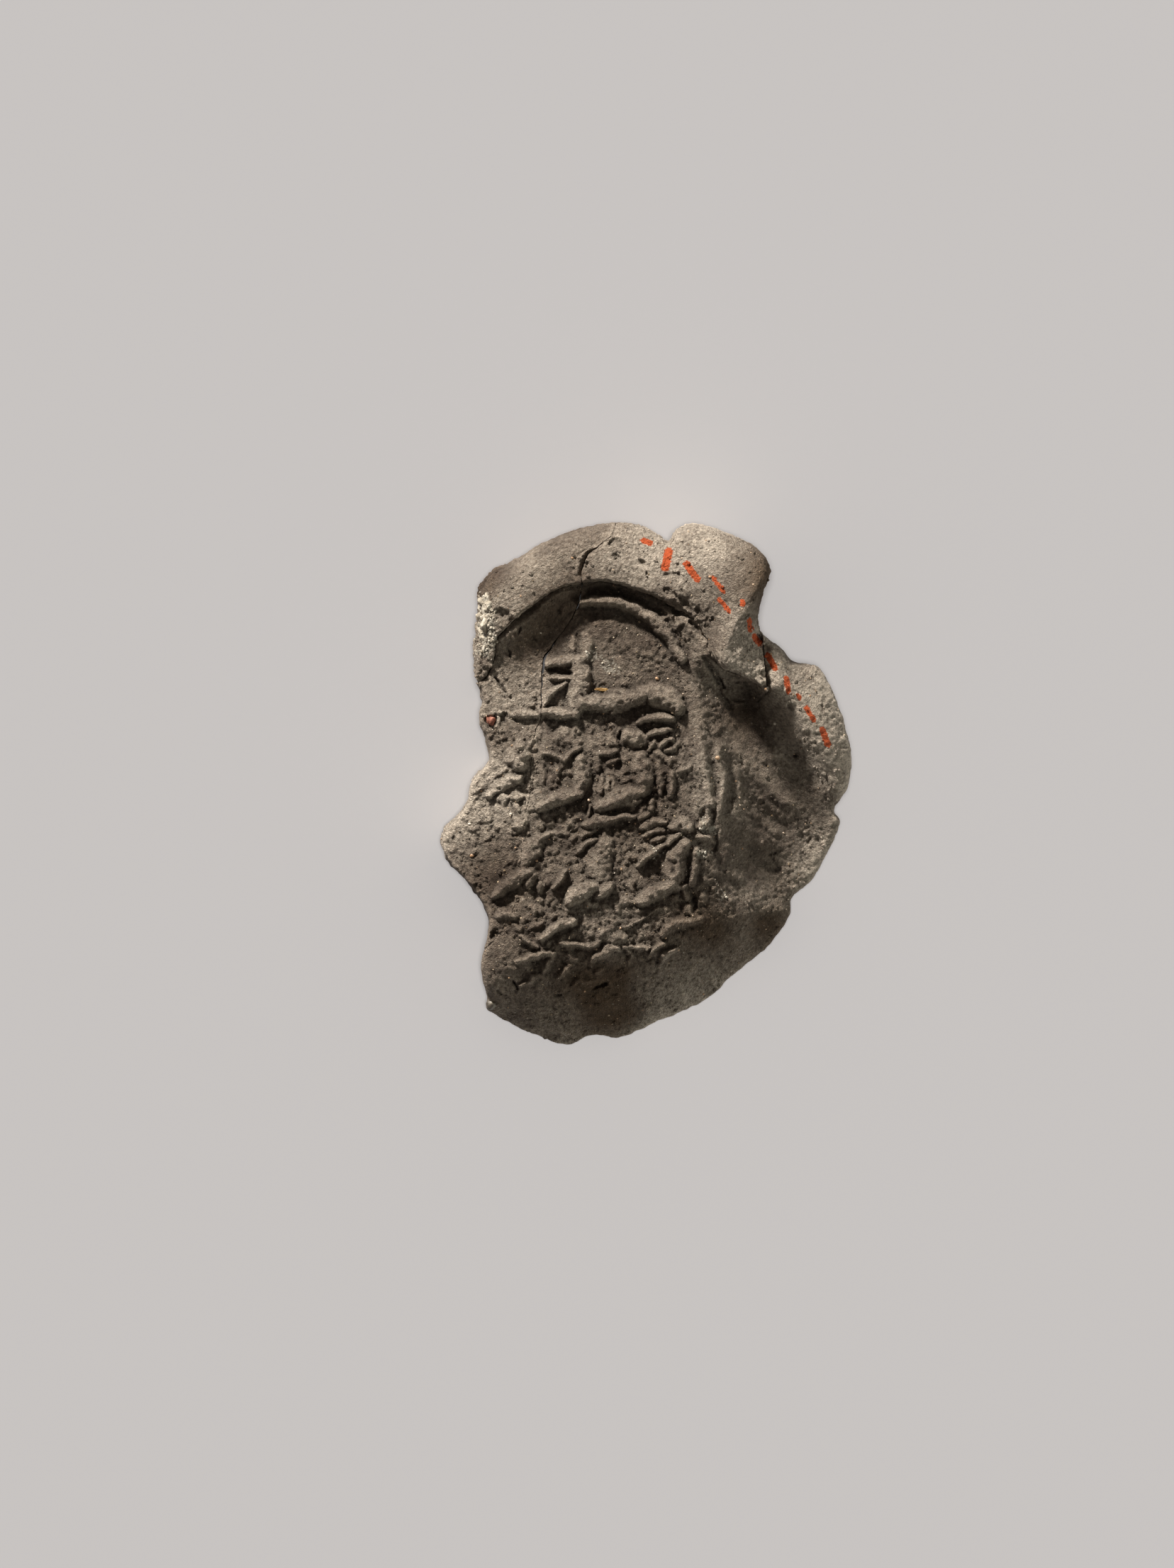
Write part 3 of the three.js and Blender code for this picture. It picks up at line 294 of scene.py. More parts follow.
        ([(4.6, 2.6), (5.0, 0.6), (5.4, -1.1), (5.8, -2.6)], 0.8, 0.3),
        ([(5.9, 3.6), (6.2, 1.8), (6.6, 0.4), (6.5, -0.8), (6.1, -2.3), (6.3, -4.0)], 0.8, 0.34),
        ([(5.0, 4.2), (5.4, 2.2), (5.7, 0.5), (5.9, -1.0), (6.0, -2.2)], 0.8, -0.2),
        ([(6.6, 3.2), (7.1, 1.6), (7.3, 0.0), (7.1, -1.4), (6.7, -2.8)], 0.9, -0.3),
        ([(6.2, 8.4), (6.8, 6.9), (7.3, 5.8), (8.2, 4.6)], 0.5, -0.2),
        ([(7.2, 3.6), (8.6, 2.0), (10.0, 0.2), (11.8, -1.4), (13.4, -2.6)], 1.4, 0.34),
        ([(7.7, 0.8), (9.0, -1.4), (10.6, -3.0), (12.4, -3.9)], 1.2, -0.3),
        ([(7.0, -1.2), (8.0, -3.0), (9.4, -4.6), (11.4, -5.4)], 1.4, 0.3),
        ([(12.9, -4.2), (13.5, -4.7), (14.0, -5.0)], 1.0, -0.2),
        ([(8.4, -4.6), (9.6, -6.4), (11.6, -7.4)], 1.2, -0.24),
        ([(6.6, -5.0), (7.2, -7.0), (8.6, -8.4)], 1.3, 0.26),
        ([(10.4, 3.2), (11.8, 1.6), (13.6, 0.2)], 1.1, 0.2),
    ],
    "rim hollows": [
        ([(-12.3, 14.4), (-11.8, 14.0), (-11.3, 13.7)], 1.0, -0.36),
        ([(-2.7, 19.1), (-2.4, 19.0)], 0.5, -0.23), ([(-0.4, 18.7), (-0.1, 18.3)], 0.4, -0.23),
        ([(1.6, 17.4), (2.8, 17.5)], 0.3, -0.16),
        ([(-3.0, 20.1), (-2.5, 20.3), (-2.1, 20.0)], 0.5, -0.23),
        ([(0.1, 17.8), (0.2, 17.1)], 0.2, -0.14), ([(-5.0, 18.2), (-4.9, 18.5)], 0.3, -0.20),
        ([(1.7, 16.2), (2.4, 15.7)], 0.5, -0.29), ([(2.8, 15.5), (3.4, 15.0), (3.8, 14.5)], 0.4, -0.26),
        ([(4.3, 14.6), (4.7, 14.0)], 0.4, -0.23), ([(5.5, 13.9), (5.8, 13.4)], 0.3, -0.16),
        ([(-9.9, 18.2), (-9.7, 18.1)], 0.3, -0.13), ([(-7.9, 20.0), (-7.8, 19.9)], 0.4, -0.16),
        ([(9.3, 12.0), (9.7, 11.2), (9.9, 9.9)], 0.3, -0.20), ([(9.3, 12.3), (9.8, 12.1)], 0.6, -0.35),
        ([(9.6, 10.7), (10.1, 10.5)], 0.5, -0.3), ([(9.7, 9.3), (10.3, 9.1)], 0.7, -0.35),
        ([(9.9, 8.2), (10.3, 8.1)], 0.5, -0.3),
    ],
}

# The clay's finish and painted light from place to place: x and y in mm, then percent of roughness, of dust,
# which where faces turn to the light, as on the fold and the wing, is also painted highlight, and of painted
# shade laid where the clay lies in shadow
faceFinishAndShade = [
    (-0.7, 10.5, 70, 16, 0), (-3, 12.2, 65, 16, 0), (-6.6, 12.2, 50, 17, 0), (-3.6, 0.4, 100, 21, 0),
    (-7.8, 0.4, 100, 24, 0), (2.3, 0.4, 100, 12, 0), (-3.6, -5.6, 100, 19, 0), (2.3, -5.6, 100, 19, 0),
    (-9, -5.6, 100, 25, 0), (-6.6, -11.5, 100, 33, 0), (-0.7, -11.5, 100, 33, 0),
    (-10.1, -13.9, 95, 17, 5), (-10.7, 11.7, 25, 13, 45), (-9, 14, 22, 13, 45), (-6.6, 15.8, 15, 8, 30),
    (-3, 16.1, 35, 20, 0), (-0.7, 15.2, 45, 24, 0), (4.7, 1.5, 55, 59, 0), (4.7, -2, 60, 43, 0),
    (1.7, 8.7, 80, 20, 0), (5.3, 12.2, 62, 26, 0), (2.9, 14, 100, 28, 0), (8.2, 6.3, 40, 0, 20),
    (6.5, 5.1, 55, 8, 0), (8.8, 0.4, 38, 22, 0), (11.2, -2.6, 38, 20, 0), (11.2, -6.8, 42, 25, 0),
    (7.6, -5.6, 50, 24, 0), (14.2, -2.6, 34, 36, 0), (15, 6.4, 34, 170, 0), (15.4, 2.7, 34, 170, 0),
    (11.8, 9.3, 45, 75, 0), (14.2, 9.3, 45, 75, 0), (16.5, 1.5, 30, 170, 0), (15.4, -0.2, 34, 60, 0),
    (11.8, 6.3, 45, 90, 0), (10.6, 8.7, 50, 80, 0), (8.8, -10.9, 45, 26, 20), (11.2, -8.6, 60, 27, 20),
    (-0.7, -17.5, 90, 26, 30), (-6.6, -19.3, 90, 28, 30), (5.3, -14.5, 85, 26, 30),
    (8.2, -12.7, 75, 28, 30), (-10.1, -19.9, 85, 30, 30), (-3.6, -21, 55, 16, 60),
    (-0.7, -19.9, 55, 28, 50), (-8.4, -15.7, 95, 18, 20), (-2.4, -14.5, 95, 19, 10),
    (-1.8, -15.7, 80, 0, 60), (-15.5, -4.4, 85, 79, 0), (-13.7, -0.8, 85, 110, 0),
    (-13.1, -5.6, 90, 19, 0), (-14.9, -6.8, 90, 20, 0), (-16.7, -4.7, 85, 79, 0),
    (-13.1, 6.9, 80, 55, 0), (-13.1, 0.2, 85, 140, 0), (-10.1, 7.5, 65, 67, 0), (-14, 10.5, 80, 40, 0),
    (-12.5, 3.3, 90, 30, 0), (-13.1, -14.5, 50, 28, 10), (-13.4, -11.5, 70, 20, 0),
    (-9.5, 18.2, 42, 47, 0), (-11.2, 16.8, 45, 40, 0), (-12.5, 15.2, 50, 51, 0), (-3.6, 20.6, 50, 35, 0),
    (-0.7, 18.2, 55, 90, 0), (-3.6, 18.6, 50, 63, 0), (5.3, 19.4, 55, 90, 0), (6.6, 17.8, 50, 46, 0),
    (9.7, 16.6, 60, 0, 60), (8.8, 13.4, 50, 66, 0), (6.5, 11.6, 50, 36, 0), (3.5, 13.4, 70, 36, 0),
    (4.4, 10.8, 70, 28, 0), (8.3, 10.4, 50, 170, 0), (-13.1, 12.8, 90, 63, 0), (-13.1, 15.8, 80, 9, 0),
    (5.3, 21.5, 50, 90, 0), (2.3, 17, 65, 71, 0), (0.6, -20.8, 70, 150, 0), (2.2, -20.3, 70, 120, 0),
    (13.8, -7.1, 60, 95, 0), (12, -10.6, 60, 24, 25), (10, -9.6, 50, 40, 0), (7, -9.6, 80, 24, 0),
    (6.2, -12.6, 70, 0, 60), (9.6, -11.6, 65, 0, 55), (-6, -17, 75, 0, 60), (8.3, 12.4, 45, 130, 0),
    (9.4, 11.2, 45, 120, 0),
]


# Plain geometry that the clay pieces share

tiny = 1e-9


def readShares(rows, places):
    # Rows of shares: the first pairs of columns are places, turned to mm, and the rest stay shares
    rows = np.array(rows, float) * percent
    rows[:, :2 * places] *= [sealing["width"], sealing["length"]] * places
    return rows


def curveThrough(rows, closed, steps):
    # A centripetal curve through the rows. The first two columns are its plan, the rest ride along.
    rows = np.array(rows, float)
    if closed:
        rows = np.vstack([rows[-1:], rows, rows[:2]])
    else:
        rows = np.vstack([2 * rows[:1] - rows[1:2], rows, 2 * rows[-1:] - rows[-2:-1]])
    pieces = []
    for span in range(len(rows) - 3):
        level = rows[span:span + 4]
        strides = np.hypot(*np.diff(level[:, :2], axis=0).T)
        knots = np.append(0, np.cumsum(np.maximum(strides, tiny) ** 0.5))
        t = np.linspace(knots[1], knots[2], steps, endpoint=False)[:, None]
        # Neighbours are blended two by two until one point is left
        for spans in (((0, 1), (1, 2), (2, 3)), ((0, 2), (1, 3)), ((1, 2),)):
            blended = []
            for a, b, (low, high) in zip(level, level[1:], spans):
                width = knots[high] - knots[low]
                blended.append(a * (knots[high] - t) / width + b * (t - knots[low]) / width)
            level = blended
        pieces.append(level[0])
    if not closed:
        pieces.append(rows[-2:-1])
    return np.vstack(pieces)


def bend(a, b):
    distance = np.hypot(a[:, None, 0] - b[None, :, 0], a[:, None, 1] - b[None, :, 1])
    return np.where(distance > 0, distance ** 2 * np.log(np.maximum(distance, tiny)), 0)


def smoothSheet(rows):
    # The smoothest sheet through rows of x, y and values: a thin-plate spline
    rows = np.array(rows, float)
    places, values = rows[:, :2], rows[:, 2:]
    count = len(places)
    system = np.zeros((count + 3, count + 3))
    system[:count, :count] = bend(places, places)
    system[:count, count:] = np.column_stack([np.ones(count), places])
    system[count:, :count] = system[:count, count:].T
    weights = np.linalg.solve(system, np.vstack([values, np.zeros((3, values.shape[1]))]))

    def valueAt(spots):
        return weights[count] + spots @ weights[count + 1:] + bend(spots, places) @ weights[:count]

    return valueAt


def lineReach(x, y, start, end):
    # Squared distance to a straight line, and how far along it the nearest place is, from 0 to 1
    way = np.subtract(end, start)
    along = np.clip(((x - start[0]) * way[0] + (y - start[1]) * way[1]) / max(way @ way, tiny), 0, 1)
    return (x - start[0] - along * way[0]) ** 2 + (y - start[1] - along * way[1]) ** 2, along


def polygonDistance(x, y, corners):
    # Distance to a closed polygon, negative inside it, and which side is nearest
    best = np.full(len(x), np.inf)
    nearest = np.zeros(len(x), int)
    inside = np.zeros(len(x), bool)
    for index, (a, b) in enumerate(zip(corners, np.roll(corners, -1, axis=0))):
        distance, _ = lineReach(x, y, a, b)
        closer = distance < best
        best[closer] = distance[closer]
        nearest[closer] = index
        crosses = (a[1] > y) != (b[1] > y)
        rise = b[1] - a[1] if b[1] != a[1] else tiny
        inside ^= crosses & (x < a[0] + (y - a[1]) * (b[0] - a[0]) / rise)
    distance = np.sqrt(best)
    return np.where(inside, -distance, distance), nearest


def roundOver(share, fullness=2.0):
    return (1 - (1 - np.clip(share, 0, 1)) ** fullness) ** (1 / fullness)


def easeStep(value, low, high):
    t = np.clip((value - low) / (high - low), 0, 1)
    return t * t * (3 - 2 * t)


def keeping(kept, amount):
    # From the share that is kept where the amount is 0, to the whole where it is 1
    return kept + (1 - kept) * amount


def flatPoints(x, y):
    return np.column_stack([x, y, np.zeros(len(x))])


# Noise comes from a lattice of cells, turned so that its rows never lie along a mesh's own
lattice = {"cells": 32, "start": 100.0, "gain": 1.6, "grainRadii": (0.2, 0.68)}
latticeTurn = np.array([[0.8, 0.6, 0], [-0.48, 0.64, 0.6], [0.36, -0.48, 0.8]])


def latticeCells(points, size):
    # Each point's cell, and its place within that cell
    spots = points @ latticeTurn.T / size + lattice["start"]
    cell = np.floor(spots).astype(int)
    return cell, spots - cell


def lumps(points, size, seed):
    # Smooth noise from about -1 to 1 whose lumps are as wide as the given size
    cells = lattice["cells"]
    gradients = np.random.RandomState(seed).normal(size=(cells,) * 3 + (3,))
    gradients /= np.linalg.norm(gradients, axis=3, keepdims=True)
    cell, inner = latticeCells(points, size)
    ease = inner ** 3 * (inner * (inner * 6 - 15) + 10)
    total = np.zeros(len(points))
    for corner in np.ndindex(2, 2, 2):
        index = tuple(((cell + corner) % cells).T)
        weight = np.prod(np.where(corner, ease, 1 - ease), axis=1)
        total += weight * ((inner - corner) * gradients[index]).sum(axis=1)
    return total * lattice["gain"]


def grit(points, size, seed):
    # Round grains of many sizes packed through the clay, as their height above it in mm
    cells = lattice["cells"]
    source = np.random.RandomState(seed)
    middles = source.uniform(0, 1, (cells,) * 3 + (3,))
    radii = source.uniform(*lattice["grainRadii"], (cells,) * 3)
    cell, inner = latticeCells(points, size)
    dome = np.zeros(len(points))
    for corner in np.array(list(np.ndindex(3, 3, 3))) - 1:
        index = tuple(((cell + corner) % cells).T)
        offset = inner - corner - middles[index]
        dome = np.maximum(dome, radii[index] ** 2 - (offset ** 2).sum(axis=1))
    return np.sqrt(dome) * size


def layered(points, layers, total=0.0):
    # Lumps of several sizes on top of each other: height, size and seed of each
    for height, size, seed in layers:
        total = total + height * lumps(points, size, seed)
    return total


# The guides of the whole face

curveSteps = {"outline": 6, "crack": 8, "rim": 18, "mark": 4}
heightGuide = smoothSheet(heightShares)
finishAndShadeGuide = smoothSheet(faceFinishAndShade)
outlineRows = curveThrough(readShares(outlineShares, 1), True, curveSteps["outline"])
crackRows = curveThrough(readShares(crackShares, 1), False, curveSteps["crack"])
rimRows = np.column_stack([readShares(rimShares, 2), footGrooves])
# The rim's foot with its groove's width and depth, and the rim's edge with the section's four shares
footRail = curveThrough(rimRows[:, [0, 1, 8, 9]], False, curveSteps["rim"])
outerRail = curveThrough(rimRows[:, 2:8], False, curveSteps["rim"])


def sheetHeight(x, y):
    spots = np.column_stack([x / sealing["width"], y / sealing["length"]]) / percent
    return heightGuide(spots)[:, 0] * percent * sealing["height"]


def finishAndShadeAt(x, y):
    return np.clip(finishAndShadeGuide(np.column_stack([x, y])) * percent, 0, 1)


def beside(line, distances):
    # An open line moved sideways, to its left as it runs for positive distances
    way = np.gradient(line, axis=0)
    way /= np.maximum(np.linalg.norm(way, axis=1, keepdims=True), tiny)
    return line + np.column_stack([-way[:, 1], way[:, 0]]) * np.atleast_1d(distances)[:, None]


# The seams between the clay pieces, in mm
seams = {
    "crackWidth": 0.3, "crackRaggedness": 0.1,
    "footGap": 0.02, "foldGap": 0.06, "overrun": 6.0,
    # How far the left side stands up along the crack, and between which places of y it begins to
    "leftRise": 0.03, "riseFrom": (-4, 6),
    # Height, size and seed of the lumps that make each side of the crack ragged
    "crackLumps": {1: [(1, 0.8, 5), (0.6, 0.35, 7)], -1: [(1, 0.8, 5), (0.6, 0.35, 5)]},
}
far = sealing["width"] + sealing["length"]


def crackGround(side):
    # All that lies left of the crack for side 1, and right of it for side -1. The crack runs downwards.
    spots = flatPoints(crackRows[:, 0], crackRows[:, 1])
    ragged = seams["crackRaggedness"] * layered(spots, seams["crackLumps"][side])
    line = beside(crackRows[:, :2], ragged - side * crackRows[:, 2] * seams["crackWidth"] / 2)
    left = (-far, line[-1, 1])
    corners = [left, (-far, far)] if side > 0 else [left, (-far, -far), (far, -far), (far, far)]
    return np.vstack([line, corners])


def rimGround():
    # All that lies on the rim's side of its foot and of the fold
    foot = beside(footRail[:, :2], [-seams["footGap"]])
    start, end = outerRail[0, :2], outerRail[-1, :2]
    way = end - footRail[-1, :2]
    way /= np.linalg.norm(way)
    side = np.array([way[1], -way[0]]) * seams["foldGap"]
    corners = [footRail[-1, :2] + side, end + side, end + side + way * seams["overrun"],
               (end[0] + seams["overrun"], far), (start[0] - seams["overrun"], far)]
    return np.vstack([[(start[0] - seams["overrun"], start[1] - seams["footGap"])], foot, corners])


outline = outlineRows[:, :2]
# Small chips along the edge: depth, size and seed
edgeChips = [(0.08, 1.3, 3), (0.05, 0.5, 4)]
leftGround = crackGround(1)
rightGround = crackGround(-1)
upperGround = rimGround()


def chippedDistance(x, y):
    # Distance to the outline with its small chips, and the nearest stretch of it
    distance, nearest = polygonDistance(x, y, outline)
    return layered(flatPoints(x, y), edgeChips, distance), nearest


def regionWithin(ground):
    # The signed distance to one piece's part of the plan, negative inside it
    def distance(x, y):
        return np.maximum.reduce([chippedDistance(x, y)[0], polygonDistance(x, y, ground)[0],
                                  -polygonDistance(x, y, upperGround)[0]])

    return distance


# The face of the pad

faceShape = {
    "lip": 0.9, "roll": 3.0, "undercut": 9.0, "leastRoll": 0.05,
    "relief": 0.9, "reliefSpread": 1.45, "taper": 0.35,
    # How sharply a stroke's height gives way to a higher one that it meets
    "merging": 4,
    # Between these heights of the relief the clay turns from rough ground to smoother figure, in mm
    "groundToFigure": (0.05, 0.3), "looseToFigure": (0.12, 0.5),
    # How far the strokes waver, and the height, size and seed of the lumps that move and wear them
    "waver": 0.13, "waverX": [(1, 1.0, 31), (0.5, 0.35, 35)], "waverY": [(1, 1.0, 32), (0.5, 0.35, 36)],
    "wearLumps": [(0.3, 0.9, 33), (0.3, 0.4, 34)],
}
# For each kind of mark: how uneven the clay is along it, how soft its shoulders are (a high number
# gives a gentle swelling, a low one a steep side), and whether it fades out at its ends
markLook = {
    "border line": (0.35, 0.66, 0), "jackal": (0.45, 0.7, 0), "upper captives": (0.85, 0.88, 0),
    "lower captives": (0.85, 0.88, 0), "faded captives": (0.9, 1.05, 0), "crumbled crest": (1.0, 1.3, 0),
    "furrows": (1.0, 0.75, 0), "faint lines": (0.2, 1.7, 1), "rim hollows": (0.8, 0.7, 0),
}
faceMarks = [group for group in sealRelief if group != "rim hollows"]
cordPrint = {
    "diameter": 3.4, "depth": 1.1, "place": -0.06, "lean": 0.1,
    "strand": 2.1, "strandDepth": 0.16, "strandLean": 0.8, "strandsFrom": 0.2,
    # The clay sagged unevenly on what it was pressed against: height, size and seed of the lumps
    "sag": 0.16, "sagLumps": [(1, 2.6, 71), (0.4, 1.1, 72)], "sagInset": 0.6,
}
clayGrain = {
    # Lumps: height on rough clay and size in mm, and seed
    "swell": (0.12, 3.4, 21), "knead": (0.11, 1.1, 22), "fine": [(0.075, 0.5, 23), (0.05, 0.28, 24)],
    # Round grains: share of their height, size in mm and seed, and how deep the grit is sunk
    "grit": [(0.44, 0.48, 25), (0.56, 0.26, 26)], "sunk": 0.2, "crumbs": (0.5, 0.65, 29),
    # Pores: depth and size in mm, seed, and the values of the noise between which they open
    "pores": (0.1, 0.38, 27), "poreEdge": (0.5, 0.85),
    # What smooth clay keeps of each, and what a figure of the print loses
    "swellKept": 0.4, "kneadKept": 0.15, "fineKept": 0.45, "figureLoss": 0.4, "driftLoss": 0.9,
    # The grit comes to the surface in patches (size and seed), and crumbs lie in drifts where the clay
    # is roughest (height, size and seed)
    "patch": (2.0, 41), "patchEdge": (-0.5, 0.6), "patchLeast": 0.25, "patchGain": 1.1,
    "drift": (0.3, 2.2, 28), "driftEdge": (0.62, 1.1),
}


def clayTexture(points, roughness, figure=0.0):
    # Figures of the print are smoother than the ground between them
    look = clayGrain
    swell = layered(points, [look["swell"]]) * keeping(look["swellKept"], roughness)
    knead = layered(points, [look["knead"]]) * keeping(look["kneadKept"], roughness)
    fine = layered(points, look["fine"])
    grains = sum(height * (grit(points, size, seed) - look["sunk"] * size)
                 for height, size, seed in look["grit"])
    patch = easeStep(lumps(points, *look["patch"]), *look["patchEdge"])
    patch = look["patchLeast"] + look["patchGain"] * patch
    drift = easeStep(layered(points, [look["drift"]], roughness), *look["driftEdge"])
    height, size, seed = look["crumbs"]
    crumbs = height * grit(points, size, seed) * (drift * (1 - look["driftLoss"] * figure))
    depth, size, seed = look["pores"]
    pores = depth * easeStep(lumps(points, size, seed), *look["poreEdge"])
    surface = (fine + grains * patch) * keeping(look["fineKept"], roughness) - pores * roughness
    return swell + knead + crumbs + surface * (1 - look["figureLoss"] * figure)


def reliefAt(x, y, groups):
    # The height of every ridge and the depth of every furrow, run together where they meet
    spots = flatPoints(x, y)
    x = x + faceShape["waver"] * layered(spots, faceShape["waverX"])
    y = y + faceShape["waver"] * layered(spots, faceShape["waverY"])
    uneven = layered(spots, faceShape["wearLumps"])
    raised, sunken = np.zeros((2, len(x)))
    for group in groups:
        wear, softness, fade = markLook[group]
        for path, width, height in sealRelief[group]:
            line = curveThrough(path, False, curveSteps["mark"]) if len(path) > 2 else np.array(path)
            reach = width * faceShape["reliefSpread"] / 2
            near = ((x > line[:, 0].min() - reach) & (x < line[:, 0].max() + reach)
                    & (y > line[:, 1].min() - reach) & (y < line[:, 1].max() + reach))
            nearX, nearY = x[near], y[near]
            best = np.full(len(nearX), 4 * reach ** 2)
            along = np.zeros(len(nearX))
            for index, (a, b) in enumerate(zip(line[:-1], line[1:])):
                distance, share = lineReach(nearX, nearY, a, b)
                closer = distance < best
                best[closer] = distance[closer]
                along[closer] = (index + share[closer]) / (len(line) - 1)
            fromMiddle = 2 * along - 1
            reach = reach * (1 - faceShape["taper"] * fromMiddle ** 2)
            profile = np.maximum(1 - best / reach ** 2, 0) ** softness
            profile = profile * (1 - fade * fromMiddle ** 4)
            mark = height * profile * (1 + wear * uneven[near])
            if height > 0:
                raised[near] += mark ** faceShape["merging"]
            else:
                sunken[near] = np.maximum(sunken[near], -mark)
    return raised ** (1 / faceShape["merging"]) * faceShape["relief"] - sunken


def edgeAt(x, y):
    # Distance in from the outline, and the nearest stretch's height, roll and lift
    distance, nearest = chippedDistance(x, y)
    near = outlineRows[nearest]
    edgeTop = sheetHeight(near[:, 0], near[:, 1])
    return np.maximum(-distance, 0), edgeTop, near[:, 2], near[:, 3] * edgeTop


def footGroove(x, y):
    distance, nearest = polygonDistance(x, y, upperGround)
    rail = footRail[np.clip(nearest - 1, 0, len(footRail) - 1)]
    onFoot = (nearest >= 1) & (nearest <= len(footRail))
    return np.where(onFoot, rail[:, 3] * np.exp(-(np.maximum(distance, 0) / rail[:, 2]) ** 2), 0)


def padTop(x, y):
    inset, edgeTop, roll, low = edgeAt(x, y)
    high = edgeTop + (low + faceShape["lip"] - edgeTop) * roll
    rounded = roundOver(inset / (faceShape["roll"] * np.maximum(roll, faceShape["leastRoll"])))
    top = high + (sheetHeight(x, y) - high) * rounded
    roughness = finishAndShadeAt(x, y)[:, 0]
    relief = reliefAt(x, y, faceMarks)
    texture = clayTexture(flatPoints(x, y), roughness, easeStep(relief, *faceShape["groundToFigure"]))
    return top + relief - footGroove(x, y) + texture


def leftTop(x, y):
    return padTop(x, y) + seams["leftRise"] * easeStep(y, *seams["riseFrom"])


def backHeight(x, y):
    # The undercut edge, the groove that a cord left with its slanting strands, and the sagged clay
    inset, edgeTop, roll, low = edgeAt(x, y)
    lift = np.maximum(low / edgeTop, faceShape["leastRoll"])
    base = low * (1 - roundOver(inset / (faceShape["undercut"] * lift)))
    radius = cordPrint["diameter"] / 2
    off = y - cordPrint["place"] * sealing["length"] - x * cordPrint["lean"]
    off = off / math.hypot(1, cordPrint["lean"])
    groove = np.sqrt(np.maximum(radius ** 2 - off ** 2, 0)) - (radius - cordPrint["depth"])
    turns = np.sin(2 * math.pi * (x + cordPrint["strandLean"] * off) / cordPrint["strand"])
    strands = cordPrint["strandDepth"] * turns * (groove > cordPrint["strandsFrom"])
    sagged = np.maximum(layered(flatPoints(x, y), cordPrint["sagLumps"]), 0)
    sagged = sagged * (inset > cordPrint["sagInset"])
    return np.maximum(base, np.maximum(groove + strands, 0)) + cordPrint["sag"] * sagged


# What every clay mesh carries for its material

# Worn dabs of orange paint along the rim and the wing: both ends and width, in mm
paintDabs = [
    ((-0.24, 20.39), (0.36, 20.16), 0.48), ((1.90, 19.44), (1.60, 18.14), 0.71),
    ((3.38, 18.37), (4.27, 17.12), 0.59), ((5.57, 17.24), (6.46, 16.05), 0.36),
    ((6.11, 15.46), (6.94, 14.39), 0.36), ((8.00, 15.22), (8.06, 14.98), 0.42),
    ((8.60, 13.68), (8.71, 12.84), 0.42), ((9.07, 12.31), (9.48, 11.77), 0.53),
    ((10.20, 10.76), (10.79, 9.69), 0.53), ((11.74, 8.80), (11.91, 7.73), 0.48),
    ((12.74, 7.43), (12.86, 7.19), 0.36), ((13.40, 6.36), (14.05, 5.35), 0.42),
    ((14.76, 4.52), (15.23, 3.33), 0.53),
]
paintReach = 1.0

# The lime film on the rim's left shoulder and a few specks of salt: both ends in mm, reach, strength
limeFilms = [
    ((-13.6, 15.2), (-13.4, 11.2), 1.1, 1.0), ((-4.4, 10.7), (-2.4, 9.5), 0.8, 0.55),
    ((4.8, -3.3), (5.5, -4.0), 0.7, 0.65), ((4.7, -5.6), (4.8, -6.1), 0.5, 0.55),
    ((0.4, -5.3), (1.0, -5.8), 0.5, 0.55), ((6.0, -8.6), (6.3, -9.2), 0.5, 0.4),
]
limeEdge = {"lumps": [(0.5, 1.1, 51), (0.3, 0.4, 52)], "fullFrom": 0.25}

clayTone = {
    # Rounds of smoothing that set how wide a hollow counts, and how strongly it shows in the painted shade
    # and highlight
    "smoothing": 10, "standing": 2.8,
    # Figures of the print get extra dust, which is partly a painted highlight on their lit tops
    "figureDustAndHighlight": 0.1, "facingUp": (0.1, 0.4),
    # Loose sand: what smooth clay keeps, its level, how hollows gather it, and what figures lose
    "sandKept": 0.15, "sandLevel": 0.75, "sandByHollow": 6, "sandLimits": (0.15, 1.4), "figureLoss": 0.6,
    # More of it along the lower crack and at the fold: how much, reach in mm, where the crack's begins
    "crackSand": 2, "crackReach": 0.25, "crackFrom": (-6, -3), "foldSand": 3, "foldReach": 0.3,
}


def boundaryEdges(faces):
    # The directed edges that only one triangle uses
    edges = np.vstack([faces[:, [0, 1]], faces[:, [1, 2]], faces[:, [2, 0]]])
    size = faces.max() + 1
    return edges[~np.isin(edges[:, 0] * size + edges[:, 1], edges[:, 1] * size + edges[:, 0])]


def standing(points, triangles, rounds):
    # How far each point stands above its surroundings along its normal, in mm, and that normal
    sides = points[triangles]
    facing = np.cross(sides[:, 1] - sides[:, 0], sides[:, 2] - sides[:, 0])
    normals = np.zeros_like(points)
    for corner in range(3):
        for axis in range(3):
            normals[:, axis] += np.bincount(triangles[:, corner], facing[:, axis], len(points))
    normals /= np.maximum(np.linalg.norm(normals, axis=1, keepdims=True), tiny)
    starts = triangles.T.ravel()
    ends = triangles[:, [1, 2, 0]].T.ravel()
    count = np.maximum(np.bincount(starts, minlength=len(points)), 1)
    smooth = points.copy()
    for _ in range(rounds):
        smooth = np.column_stack([np.bincount(starts, smooth[ends, axis], len(points)) / count
                                  for axis in range(3)])
    return ((points - smooth) * normals).sum(axis=1), normals


def paintDistance(x, y):
    best = np.full(len(x), paintReach)
    for start, end, width in paintDabs:
        best = np.minimum(best, np.sqrt(lineReach(x, y, start, end)[0]) - width / 2)
    return best


def limeAt(points):
    # How thickly lime covers each point, from 0 to 1
    uneven = layered(points, limeEdge["lumps"])
    cover = np.zeros(len(points))
    for start, end, reach, strength in limeFilms:
        off = np.sqrt(lineReach(points[:, 0], points[:, 1], start, end)[0]) + uneven
        cover = np.maximum(cover, strength * easeStep(-off, -reach, -limeEdge["fullFrom"] * reach))
    return cover


def makeObject(name, data):
    thing = bpy.data.objects.new(name, data)
    bpy.context.scene.collection.objects.link(thing)
    return thing


